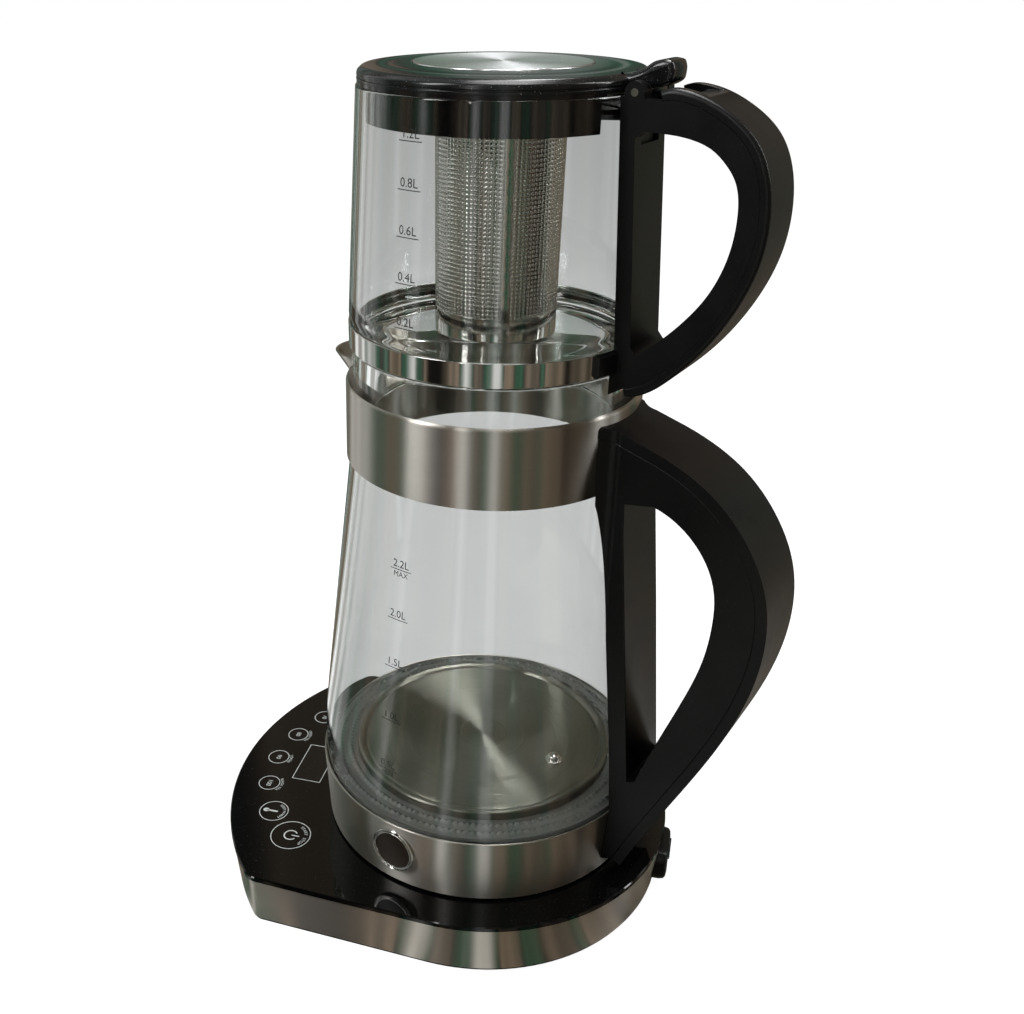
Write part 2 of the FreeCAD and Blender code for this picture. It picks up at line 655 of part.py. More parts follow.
# The tapered glass, from the shelf up into the collar.
GLASS_FOOT = "(shelf_height + ring_wall)"
GLASS_FOOT_RADIUS = "(ring_top_radius - ring_wall - %s * (ring_height - %s) - fit_gap)" % (RING_SLOPE, GLASS_FOOT)
NECK_RADIUS = "(collar_radius - collar_wall - fit_gap)"
GLASS_TOP = "(%s - foot_depth - ledge_thickness)" % COLLAR_TOP
kettle_glass = turned_piece("kettle_glass", [
    (GLASS_FOOT_RADIUS + " - glass_wall", GLASS_FOOT),
    (GLASS_FOOT_RADIUS, GLASS_FOOT),
    (GLASS_FOOT_RADIUS, "ring_height + 6", "glass_belly_curve"),
    ("glass_belly_radius", "glass_belly_height"),
    (NECK_RADIUS, "collar_bottom - 1"),
    (NECK_RADIUS + " - 0.5", GLASS_TOP),
    (NECK_RADIUS + " - 0.5 - glass_wall", GLASS_TOP),
    (NECK_RADIUS + " - glass_wall", "collar_bottom - 1"),
    ("glass_belly_radius - glass_wall", "glass_belly_height", "-glass_belly_curve"),
    (GLASS_FOOT_RADIUS + " - glass_wall", "ring_height + 6"),
], KETTLE)

# The clear seal between plate and glass, with two raised beads.
SEAL_TOP = "(plate_height - seal_drop)"
SEAL_OUT = "(%s - glass_wall - fit_gap)" % GLASS_FOOT_RADIUS
SEAL_IN = "(plate_radius + fit_gap)"
seal = turned_piece("plate_seal", [
    (SEAL_IN, GLASS_FOOT),
    (SEAL_OUT, GLASS_FOOT),
    (SEAL_OUT, SEAL_TOP + " - 1.5"),
    (SEAL_OUT + " - 4", SEAL_TOP),
    (SEAL_OUT + " - 6", SEAL_TOP + " - 1"),
    (SEAL_IN + " + 4", SEAL_TOP + " - 1"),
    (SEAL_IN + " + 2.5", SEAL_TOP),
    (SEAL_IN, SEAL_TOP),
], KETTLE)

# The brushed steel collar with its pouring lip and the ledge that the teapot stands on.
LEDGE_TOP = "(%s - foot_depth)" % COLLAR_TOP
SPOUT_X = "(spout_reach - spout_radius)"
collar = new_body("kettle_collar", KETTLE)
spout_top = circles(collar, "spout_top", "XY_Plane", [("-" + SPOUT_X, "0", "spout_radius")], COLLAR_TOP)
spout_toe = circles(collar, "spout_toe", "XY_Plane",
                    [("-collar_radius + spout_toe_radius + 0.3", "0", "spout_toe_radius")],
                    COLLAR_TOP + " - spout_depth")
spout = collar.newObject("PartDesign::AdditiveLoft", "spout_cone")
spout.Profile = spout_top
spout.Sections = [spout_toe]
doc.recompute()
bore = circles(collar, "collar_bore", "XY_Plane", [("0", "0", "collar_radius - collar_wall")], COLLAR_TOP)
cut_down(collar, bore, "collar_height + 1")
INNER_TOP = "(collar_top_radius - collar_wall)"
collar_profile = outline(collar, "collar_profile", "XZ_Plane", [
    ("collar_radius - collar_wall", "collar_bottom"),
    ("collar_radius", "collar_bottom"),
    ("collar_top_radius", COLLAR_TOP + " - collar_lip", "collar_lip"),
    ("collar_top_radius - collar_lip", COLLAR_TOP),
    (INNER_TOP, COLLAR_TOP),
    (INNER_TOP, LEDGE_TOP),
    ("ledge_radius", LEDGE_TOP),
    ("ledge_radius", LEDGE_TOP + " - ledge_thickness"),
    ("collar_radius - collar_wall", LEDGE_TOP + " - ledge_thickness"),
])
spin(collar, collar_profile)
spout_cut_top = circles(collar, "spout_cut_top", "XY_Plane",
                        [("-" + SPOUT_X, "0", "spout_radius - spout_wall")], COLLAR_TOP)
spout_cut_toe = circles(collar, "spout_cut_toe", "XY_Plane",
                        [("-collar_radius", "0", "(spout_radius - spout_wall) / 2")],
                        COLLAR_TOP + " - spout_floor")
spout_hollow = collar.newObject("PartDesign::SubtractiveLoft", "spout_hollow")
spout_hollow.Profile = spout_cut_top
spout_hollow.Sections = [spout_cut_toe]
doc.recompute()

# Handles: side outlines are smooth curves through points, each a share of the handle's reach out from
# the vessel's skin and a share of the vessel's height. The outer strip of each loop is a cover of its own.

KETTLE_GRIP = [(-0.084, 0.985), (0.143, 0.963), (0.317, 0.946), (0.639, 0.894), (0.857, 0.820),
               (0.982, 0.731), (1.000, 0.638), (0.880, 0.483), (0.542, 0.267), (0.231, 0.090),
               (0.126, 0.025)]
KETTLE_EYE = [(0.277, 0.847), (0.415, 0.829), (0.522, 0.803), (0.597, 0.774), (0.648, 0.742),
              (0.678, 0.695), (0.675, 0.655), (0.615, 0.556), (0.528, 0.482), (0.340, 0.346),
              (0.209, 0.247)]
KETTLE_EYE_POST = [(0.160, 0.238), (0.118, 0.580), (0.090, 0.777), (0.092, 0.838)]
POT_GRIP = [(0.244, 1.018), (0.305, 1.026), (0.400, 1.025), (0.556, 1.008), (0.692, 0.980),
            (0.815, 0.943), (0.905, 0.899), (0.963, 0.845), (1.000, 0.721), (0.958, 0.598),
            (0.814, 0.453), (0.544, 0.292), (0.381, 0.222), (0.231, 0.172), (0.066, 0.146)]
POT_EYE = [(0.144, 0.912), (0.381, 0.908), (0.492, 0.900), (0.603, 0.882), (0.697, 0.849),
           (0.764, 0.809), (0.795, 0.713), (0.763, 0.624), (0.617, 0.484), (0.481, 0.411),
           (0.258, 0.320), (0.146, 0.283)]
POT_EYE_POST = [(0.105, 0.305), (0.090, 0.893)]


def places_on(skin_low, skin_high, height, reach, points):
    """Turns shares of the handle's reach and of the vessel's height into places in the X-Z plane."""
    found = []
    for out, share in points:
        skin = skin_low + (skin_high - skin_low) * share
        found.append(Vector(skin + reach * out, 0, height * share))
    return found


def curve_through(places):
    curve = Part.BSplineCurve()
    curve.interpolate(places)
    return curve


def inset_curve(curve, distance):
    """The same curve moved sideways, towards the vessel, by a distance."""
    steps = 24
    places = []
    for step in range(steps + 1):
        at = curve.FirstParameter + (curve.LastParameter - curve.FirstParameter) * step / steps
        along = Vector(*curve.tangent(at)[0])
        places.append(curve.value(at) + Vector(-along.z, 0, along.x) * -distance)
    return curve_through(places)


def slab(edges, width):
    """Closes a run of edges and extends it evenly to both sides of the X-Z plane."""
    first = edges[0].firstVertex().Point
    last = edges[-1].lastVertex().Point
    if first.distanceToPoint(last) > 0.001:
        edges = edges + [Part.makeLine(last, first)]
    flat = Part.Face(Part.Wire(Part.__sortEdges__(edges)))
    flat.translate(Vector(0, -width / 2, 0))
    return flat.extrude(Vector(0, width, 0))


def revolve(places):
    """A solid turned from upright places, closed along the axis."""
    low = Vector(0, 0, places[0].z)
    high = Vector(0, 0, places[-1].z)
    flat = Part.Face(Part.makePolygon([low] + places + [high, low]))
    return flat.revolve(Vector(0, 0, 0), Vector(0, 0, 1), 360)


def rounded_sides(solid, curve, radius):
    """Rounds the long edges where a slab's sides meet the face that follows a curve."""
    edges = [edge for edge in solid.Edges if abs(edge.Length - curve.length()) < 0.001]
    return solid.makeFillet(radius, edges)


def loop_parts(grip, eye, eye_post, foot, depth, width, radius):
    """The handle's frame and its outer cover, before they are cut to the vessel."""
    outer = curve_through(grip)
    inner = inset_curve(outer, depth)
    outer_edge = outer.toShape()
    inner_edge = inner.toShape()
    ends = [outer_edge.firstVertex().Point, outer_edge.lastVertex().Point]
    starts = [inner_edge.firstVertex().Point, inner_edge.lastVertex().Point]
    strip = slab([outer_edge, Part.makeLine(ends[1], starts[1]), inner_edge,
                  Part.makeLine(starts[0], ends[0])], width)
    strip = rounded_sides(strip, outer, radius)
    back = [Part.makeLine(starts[1], foot[0]), Part.makeLine(foot[0], foot[1]), Part.makeLine(foot[1], starts[0])]
    frame = slab([inner_edge] + back, width)
    eye_top = curve_through(eye).toShape()
    run = [eye_top.lastVertex().Point] + eye_post + [eye_top.firstVertex().Point]
    gap = slab([eye_top] + [Part.makeLine(a, b) for a, b in zip(run, run[1:])], width + 2)
    return frame.cut(gap), strip


# The kettle's handle, cut back to the ring, glass and collar, and flared where it meets the collar.
kettle_top = value(COLLAR_TOP)
kettle_width = value("kettle_handle_width")
kettle_reach = value("kettle_handle_reach")
skin_low = value("ring_bottom_radius")
skin_high = value("collar_top_radius")
kettle_grip = places_on(skin_low, skin_high, kettle_top, kettle_reach, KETTLE_GRIP)
kettle_eye = places_on(skin_low, skin_high, kettle_top, kettle_reach, KETTLE_EYE)
kettle_post = places_on(skin_low, skin_high, kettle_top, kettle_reach, KETTLE_EYE_POST)
inside = value("handle_root")
foot_line = [Vector(skin_low - inside, 0, kettle_grip[-1].z / 2),
             Vector(skin_high - inside, 0, kettle_grip[0].z)]
flare = value("kettle_handle_flare")
kettle_frame, kettle_strip = loop_parts(kettle_grip, kettle_eye, kettle_post, foot_line,
                                        value("kettle_cover_depth"), flare, value("kettle_handle_round"))
gap = value("kettle_skin_gap")
clear = revolve([
    Vector(skin_low + 0.05, 0, -1),
    Vector(value("ring_top_radius") + 0.05, 0, value("ring_height") + 0.05),
    Vector(value("glass_belly_radius") + gap, 0, value("glass_belly_height")),
    Vector(value("collar_radius") + gap, 0, value("collar_bottom") - 8),
    Vector(value("collar_radius") + 0.05, 0, value("collar_bottom") - 4),
    Vector(value("collar_top_radius") + 0.05, 0, kettle_top + 2),
])
half = kettle_width / 2
collar_radius = value("collar_radius")
side = curve_through([Vector(collar_radius - 12, flare / 2, 0), Vector(collar_radius - 4, flare / 2, 0),
                      Vector(collar_radius, half + 0.6, 0), Vector(collar_radius + 5, half, 0)]).toShape()
far = kettle_grip[6].x + 10
corners = [Vector(collar_radius + 5, half, 0), Vector(far, half, 0), Vector(far, 0, 0),
           Vector(collar_radius - 12, 0, 0), Vector(collar_radius - 12, flare / 2, 0)]
plan = Part.Face(Part.Wire([side] + [Part.makeLine(a, b) for a, b in zip(corners, corners[1:])]))
plan_half = plan.extrude(Vector(0, 0, kettle_top * 1.2))
plan_solid = plan_half.fuse(plan_half.mirror(Vector(0, 0, 0), Vector(0, 1, 0))).removeSplitter()
kettle_handle = free_shape("kettle_handle", kettle_frame.common(plan_solid).cut(clear), KETTLE)
kettle_strip = kettle_strip.common(plan_solid).cut(clear)
kettle_handle_cover = free_shape("kettle_handle_cover", kettle_strip, KETTLE)

# Teapot

# The teapot's glass: ring foot, thick floor, waist for the strap and a slightly tapered wall.
WAIST_LOW = "pot_foot_height"
WAIST_HIGH = "(pot_foot_height + strap_height)"
pot_glass = turned_piece("teapot_glass", [
    ("pot_foot_radius - pot_foot_round - pot_foot_wall", "0"),
    ("pot_foot_radius - pot_foot_round", "0", "pot_foot_round"),
    ("pot_foot_radius", "pot_foot_round"),
    ("pot_foot_radius", WAIST_LOW + " - 1"),
    ("pot_waist_radius", WAIST_LOW),
    ("pot_waist_radius", WAIST_HIGH),
    ("pot_belly_radius", "pot_belly_height"),
    ("pot_rim_radius", "pot_height - 0.8"),
    ("pot_rim_radius - 0.8", "pot_height"),
    ("pot_rim_radius - glass_wall", "pot_height"),
    ("pot_belly_radius - glass_wall", "pot_belly_height + 2"),
    ("pot_belly_radius - glass_wall - 3.5", "pot_floor"),
    ("0", "pot_floor"),
    ("0", "pot_floor - pot_floor_thickness"),
    ("pot_foot_radius - pot_foot_round - pot_foot_wall - 2", "pot_floor - pot_floor_thickness"),
], POT)

# The polished steel strap round the waist.
strap = turned_piece("teapot_strap", [
    ("pot_waist_radius + 0.05", WAIST_LOW + " + fit_gap"),
    ("pot_waist_radius + 0.05 + strap_wall", WAIST_LOW + " + fit_gap"),
    ("pot_waist_radius + 0.05 + strap_wall", WAIST_HIGH + " - fit_gap"),
    ("pot_waist_radius + 0.05", WAIST_HIGH + " - fit_gap"),
], POT)

# The black bracket that clamps the strap to the handle.
BRACKET_IN = "(pot_waist_radius + strap_wall + 0.1)"
bracket = turned_piece("strap_bracket", [
    (BRACKET_IN, WAIST_LOW + " + fit_gap"),
    (BRACKET_IN + " + bracket_depth", WAIST_LOW + " + bracket_margin"),
    (BRACKET_IN + " + bracket_depth", WAIST_HIGH + " - bracket_margin"),
    (BRACKET_IN, WAIST_HIGH + " - fit_gap"),
], POT, "-bracket_angle / 2", "bracket_angle")

# The teapot's handle: a saddle against the glass, the frame with two hinge ears, and the outer cover.
pot_top = value("pot_height")
pot_width = value("pot_handle_width")
pot_reach = value("pot_handle_reach")
pot_low = value("pot_belly_radius + (pot_belly_radius - pot_rim_radius) * pot_belly_height / (pot_height - pot_belly_height)")
pot_high = value("pot_rim_radius")
pot_grip = places_on(pot_low, pot_high, pot_top, pot_reach, POT_GRIP)
pot_eye = places_on(pot_low, pot_high, pot_top, pot_reach, POT_EYE)
pot_post = places_on(pot_low, pot_high, pot_top, pot_reach, POT_EYE_POST)
hinge = Vector(value("hinge_reach"), 0, value(LID_SEAT))
ear = value("knuckle_radius")
pot_foot_line = [Vector(pot_low - inside, 0, pot_grip[-1].z - inside / 6),
                 Vector(pot_high - inside, 0, hinge.z - 1)]
pot_frame, pot_strip = loop_parts(pot_grip, pot_eye, pot_post, pot_foot_line,
                                  value("pot_cover_depth"), pot_width, value("pot_handle_round"))
ears = Part.makeCylinder(ear, pot_width, hinge - Vector(0, pot_width / 2, 0), Vector(0, 1, 0))
ear_root = Part.makeBox(ear * 2, pot_width, ear * 3, hinge - Vector(ear, pot_width / 2, ear * 3))
gap = value("pot_skin_gap")
waist_out = value(BRACKET_IN + " + bracket_depth") + 0.05
clear = revolve([
    Vector(value("pot_foot_radius") + gap, 0, 0),
    Vector(value("pot_foot_radius") + gap, 0, value(WAIST_LOW) - 0.3),
    Vector(waist_out, 0, value(WAIST_LOW + " + bracket_margin")),
    Vector(waist_out, 0, value(WAIST_HIGH + " - bracket_margin")),
    Vector(value("pot_belly_radius") + gap, 0, value(WAIST_HIGH) + 0.5),
    Vector(value("pot_belly_radius") + gap, 0, value("pot_belly_height")),
    Vector(pot_high + gap, 0, pot_top),
    Vector(pot_high + gap, 0, hinge.z + 12),
])
slot_half = value("knuckle_width / 2 + knuckle_gap")
reach = value("sqrt(lever_length^2 + lever_rise^2 / 4) + lever_clearance")
slot = Part.makeCylinder(reach, 2 * slot_half, hinge - Vector(0, slot_half, 0), Vector(0, 1, 0))
ahead = Part.makeBox(2 * reach, 2 * slot_half, 2 * reach, hinge - Vector(0, slot_half, reach))
slot = slot.common(ahead)
slot = slot.fuse(Part.makeCylinder(ear + value("lever_clearance"), 2 * slot_half,
                                   hinge - Vector(0, slot_half, 0), Vector(0, 1, 0)))
above = Part.makeBox(4 * reach, 2 * slot_half, 2 * reach, hinge - Vector(2 * reach, slot_half, 0))
slot = slot.fuse(above)
pin_hole = Part.makeCylinder(value("pin_radius"), pot_width + 2, hinge - Vector(0, pot_width / 2 + 1, 0), Vector(0, 1, 0))
pot_frame = pot_frame.fuse(ears).fuse(ear_root).removeSplitter().cut(clear).cut(slot).cut(pin_hole)
depth = value("saddle_depth + pot_skin_gap")
saddle_top = value("pot_height - saddle_drop")
saddle_zone = revolve([
    Vector(pot_low + depth, 0, 0),
    Vector(pot_low + (pot_high - pot_low) * saddle_top / pot_top + depth, 0, saddle_top),
])
free_shape("teapot_saddle", pot_frame.common(saddle_zone), POT)
free_shape("teapot_handle", pot_frame.cut(saddle_zone), POT)
free_shape("teapot_handle_cover", pot_strip.cut(clear).cut(slot), POT)

pin = new_body("hinge_pin", POT)
pin_outline = circles(pin, "pin_outline", "XZ_Plane", [("hinge_reach", LID_SEAT, "pin_radius - 0.01")],
                      "-(pot_handle_width / 2)")
raise_up(pin, pin_outline, "pot_handle_width")

# The steel hook that holds the handle's top to the glass rim.
hook = turned_piece("rim_hook", [
    ("pot_rim_radius + 0.1 + (hook_drop - 0.8) * 0.053", "pot_height - hook_drop"),
    ("pot_rim_radius + 0.1 + hook_thickness + (hook_drop - 0.8) * 0.053", "pot_height - hook_drop"),
    ("pot_rim_radius + 0.1 + hook_thickness", "pot_height + hook_thickness"),
    ("pot_rim_radius - glass_wall - hook_thickness - 0.1", "pot_height + hook_thickness"),
    ("pot_rim_radius - glass_wall - hook_thickness - 0.1", "pot_height - hook_drop"),
    ("pot_rim_radius - glass_wall - 0.1", "pot_height - hook_drop"),
    ("pot_rim_radius - glass_wall - 0.1", "pot_height + 0.02"),
    ("pot_rim_radius + 0.1", "pot_height + 0.02"),
], POT, "-hook_angle / 2", "hook_angle")

# The black strainer holder that hangs in the rim: flange, skirt, pierced web and hub, open at the hinge.
HOLDER_LOW = "(pot_height - holder_skirt_depth)"
HUB_IN = "(strainer_radius + strainer_sleeve + running_gap)"
HUB_TOP = "(pot_height - strainer_hub_drop)"
holder = new_body("strainer_holder", POT)
holder_profile = outline(holder, "holder_profile", "XZ_Plane", [
    (HUB_IN, HOLDER_LOW),
    ("holder_skirt_radius", HOLDER_LOW),
    ("holder_skirt_radius", "pot_height"),
    ("pot_rim_radius - 0.6", "pot_height"),
    ("pot_rim_radius - 0.6", LID_SEAT),
    ("holder_skirt_radius - holder_wall", LID_SEAT),
    ("holder_skirt_radius - holder_wall", HOLDER_LOW + " + holder_web"),
    (HUB_IN + " + holder_hub_wall", HOLDER_LOW + " + holder_web"),
    (HUB_IN + " + holder_hub_wall", HUB_TOP),
    (HUB_IN, HUB_TOP),
])
spin(holder, holder_profile)
WINDOW_IN = "(%s + holder_hub_wall + 2)" % HUB_IN
WINDOW_OUT = "(holder_skirt_radius - holder_wall - 2)"
window_sketch = outline(holder, "web_window", "XY_Plane", [
    ("%s * cos(holder_window_angle / 2)" % WINDOW_IN, "-%s * sin(holder_window_angle / 2)" % WINDOW_IN),
    ("%s * cos(holder_window_angle / 2)" % WINDOW_OUT, "-%s * sin(holder_window_angle / 2)" % WINDOW_OUT,
     WINDOW_OUT),
    ("%s * cos(holder_window_angle / 2)" % WINDOW_OUT, "%s * sin(holder_window_angle / 2)" % WINDOW_OUT),
    ("%s * cos(holder_window_angle / 2)" % WINDOW_IN, "%s * sin(holder_window_angle / 2)" % WINDOW_IN,
     "-" + WINDOW_IN),
], HOLDER_LOW + " + holder_web")
polar(holder, cut_down(holder, window_sketch, "holder_web"), 5)
NOTCH_X = "(pot_rim_radius * cos(holder_notch_angle / 2))"
NOTCH_Y = "(pot_rim_radius * sin(holder_notch_angle / 2))"
NOTCH_IN = "(%s + holder_hub_wall + 8)" % HUB_IN
notch = outline(holder, "hinge_notch", "XY_Plane", [
    (NOTCH_IN, "-%s * tan(holder_notch_angle / 2)" % NOTCH_IN),
    (NOTCH_X + " + 4", "-(%s + 4) * tan(holder_notch_angle / 2)" % NOTCH_X),
    (NOTCH_X + " + 4", "(%s + 4) * tan(holder_notch_angle / 2)" % NOTCH_X),
    (NOTCH_IN, "%s * tan(holder_notch_angle / 2)" % NOTCH_IN),
], LID_SEAT)
cut_down(holder, notch, "holder_flange + holder_skirt_depth")

# Strainer

# The steel strainer: tapered wall, closed floor and the turned rim that sits on the holder's hub.
STRAINER_LOW = "(pot_floor + strainer_foot_gap)"
strainer_wall = turned_piece("strainer_wall", [
    ("strainer_foot_radius - strainer_wall_thickness", STRAINER_LOW + " + strainer_wall_thickness"),
    ("strainer_foot_radius", STRAINER_LOW + " + strainer_wall_thickness"),
    ("strainer_radius", HUB_TOP),
    ("strainer_radius - strainer_wall_thickness", HUB_TOP),
], POT)
strainer_floor = turned_piece("strainer_floor", [
    ("0", STRAINER_LOW),
    ("strainer_foot_radius - 1", STRAINER_LOW),
    ("strainer_foot_radius", STRAINER_LOW + " + strainer_wall_thickness"),
    ("0", STRAINER_LOW + " + strainer_wall_thickness"),
], POT)
strainer_rim = turned_piece("strainer_rim", [
    ("strainer_radius + 0.02", HUB_TOP + " - 4"),
    ("strainer_radius + strainer_sleeve", HUB_TOP + " - 4"),
    ("strainer_radius + strainer_sleeve", HUB_TOP),
    ("strainer_rim_radius", HUB_TOP),
    ("strainer_rim_radius", HUB_TOP + " + strainer_rim_thickness"),
    ("strainer_radius - strainer_wall_thickness", HUB_TOP + " + strainer_rim_thickness"),
    ("strainer_radius - strainer_wall_thickness", HUB_TOP),
    ("strainer_radius + 0.02", HUB_TOP),
], POT)

# Lid

# The black lid: shallow dome with a grooved edge, recess for the disc, hinge knuckle and thumb lever.
DISC_SEAT = "(lid_height + lid_disc_stand - lid_disc_thickness)"
lid = new_body("lid_shell", LID)
lid_profile = outline(lid, "lid_profile", "XZ_Plane", [
    ("0", DISC_SEAT + " - lid_thickness"),
    ("lid_radius - 4", "lid_height - 1 - lid_thickness - 0.4"),
    ("lid_radius - 2.2", "lid_edge_height - 1"),
    ("lid_radius - 2.2", "0"),
    ("lid_radius", "0"),
    ("lid_radius", "1.2"),
    ("lid_radius - 0.8", "1.2"),
    ("lid_radius - 0.8", "1.9"),
    ("lid_radius", "1.9"),
    ("lid_radius", "lid_edge_height", "lid_edge_curve"),
    ("lid_radius - 2.6", "lid_height - 1"),
    ("lid_disc_radius + 0.3", "lid_height"),
    ("lid_disc_radius + 0.3", DISC_SEAT),
    ("0", DISC_SEAT),
])
spin(lid, lid_profile)
ARM_SIDE = "-(knuckle_width / 2)"
knuckle = circles(lid, "knuckle", "XZ_Plane", [("hinge_reach", "0", "knuckle_radius")], ARM_SIDE)
raise_up(lid, knuckle, "knuckle_width")
arm = outline(lid, "arm_and_lever", "XZ_Plane", [
    ("lid_radius - 2", "1"),
    ("hinge_reach", "-knuckle_radius + 3"),
    ("hinge_reach + knuckle_radius - 0.5", "1.2"),
    ("hinge_reach + lever_length - 4.5", "1.4"),
    ("hinge_reach + lever_length", "lever_rise / 2 - 1.4"),
    ("hinge_reach + lever_length - 1.6", "lever_rise - 1.8", "4"),
    ("hinge_reach + lever_length - 5", "lever_rise", "40"),
    ("hinge_reach + 3", "lever_rise - 2.6", "-30"),
    ("lid_radius - 3", "lid_height - 1.1"),
], ARM_SIDE)
raise_up(lid, arm, "knuckle_width")
pin_bore = circles(lid, "pin_bore", "XZ_Plane", [("hinge_reach", "0", "pin_radius + pin_gap")],
                   "knuckle_width / 2 + 1")
cut_down(lid, pin_bore, "knuckle_width + 2")

lid_disc = new_body("lid_disc", LID + " + " + DISC_SEAT)
raise_up(lid_disc, circles(lid_disc, "disc_outline", "XY_Plane", [("0", "0", "lid_disc_radius")]),
         "lid_disc_thickness")

# The liner plate under the lid, with its lip and the soft seal round it.
LINER_TOP = "(lid_height - 1 - lid_thickness - 0.6 - 0.6)"
liner = turned_piece("lid_liner", [
    ("0", LINER_TOP + " - liner_wall"),
    ("liner_radius - liner_wall", LINER_TOP + " - liner_wall"),
    ("liner_radius - liner_wall", "-liner_drop"),
    ("liner_radius", "-liner_drop"),
    ("liner_radius", LINER_TOP),
    ("0", LINER_TOP),
], LID)
lid_seal = turned_piece("lid_seal", [
    ("liner_radius", "-liner_drop + lid_seal_drop", "lid_seal_height / 2 + 0.05"),
    ("liner_radius", "-liner_drop + lid_seal_drop + lid_seal_height"),
], LID)

doc.recompute()

pieces = [item for item in doc.Objects if item.TypeId in ("PartDesign::Body", "Part::Feature")
          and (item.TypeId == "PartDesign::Body" or item.getParentGeoFeatureGroup() is None)]
for item in doc.Objects:
    if "Invalid" in item.State or "Error" in item.State:
        raise RuntimeError("%s did not recompute: %s" % (item.Label, item.State))
os.makedirs("parts", exist_ok=True)
for piece in pieces:
    if piece.Shape.isNull() or not piece.Shape.isValid():
        raise RuntimeError("%s has no valid shape" % piece.Label)
    piece.Shape.exportStep("parts/%s.step" % piece.Label)
    print("%-22s solids %d volume %10.1f" % (piece.Label, len(piece.Shape.Solids), piece.Shape.Volume))
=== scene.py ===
import math

import bmesh
import bpy
import numpy as np
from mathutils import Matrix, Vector


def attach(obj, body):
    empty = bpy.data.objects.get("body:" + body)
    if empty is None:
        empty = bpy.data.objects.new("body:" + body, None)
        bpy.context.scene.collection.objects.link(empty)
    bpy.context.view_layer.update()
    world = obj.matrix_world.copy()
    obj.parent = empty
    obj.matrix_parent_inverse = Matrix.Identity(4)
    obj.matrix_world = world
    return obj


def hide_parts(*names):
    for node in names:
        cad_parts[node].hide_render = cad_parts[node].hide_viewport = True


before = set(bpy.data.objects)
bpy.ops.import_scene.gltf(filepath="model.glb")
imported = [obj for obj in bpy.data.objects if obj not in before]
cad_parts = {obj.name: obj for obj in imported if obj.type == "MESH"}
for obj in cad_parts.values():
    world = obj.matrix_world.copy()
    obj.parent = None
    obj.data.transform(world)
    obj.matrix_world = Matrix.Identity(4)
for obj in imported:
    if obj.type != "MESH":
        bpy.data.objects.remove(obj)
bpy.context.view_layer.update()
bpy.context.scene.view_settings.view_transform = "Standard"

# Control panel: one glossy black moulding that closes the top of the base, with a thin broken edge.
# The heating symbols, rings and the frame of the display are printed on it in pale ink. The base is turned
# a little under the kettle. Sizes are in millimetres, and PANEL_TOP is the panel's height over the table.
BASE_TURN = math.radians(18.6)
PANEL_TOP = 32.5


def link(tree, source, target):
    """Joins two sockets."""
    tree.links.new(source, target)


def surface_variation():
    """The unevenness of a real surface, once for all finishes. Grain is a fine noise, Cloud a broad soft
    noise, and Dust is a sparse spotty mask where a very fine noise passes a threshold."""
    group = bpy.data.node_groups.new("surface_variation", "ShaderNodeTree")
    group.interface.new_socket("Vector", in_out="INPUT", socket_type="NodeSocketVector")
    for label in ("Grain Scale", "Cloud Scale", "Dust Scale"):
        group.interface.new_socket(label, in_out="INPUT", socket_type="NodeSocketFloat")
    for label in ("Grain", "Cloud", "Dust"):
        group.interface.new_socket(label, in_out="OUTPUT", socket_type="NodeSocketFloat")
    given = group.nodes.new("NodeGroupInput")
    result = group.nodes.new("NodeGroupOutput")
    for label, detail in (("Grain", 4.0), ("Cloud", 3.0), ("Dust", 1.0)):
        noise = group.nodes.new("ShaderNodeTexNoise")
        noise.inputs["Detail"].default_value = detail
        link(group, given.outputs["Vector"], noise.inputs["Vector"])
        link(group, given.outputs[label + " Scale"], noise.inputs["Scale"])
        if label != "Dust":
            link(group, noise.outputs["Fac"], result.inputs[label])
            continue
        spots = group.nodes.new("ShaderNodeMapRange")
        spots.inputs["From Min"].default_value = 0.70
        spots.inputs["From Max"].default_value = 0.78
        link(group, noise.outputs["Fac"], spots.inputs["Value"])
        link(group, spots.outputs["Result"], result.inputs["Dust"])
    return group


VARIATION = surface_variation()


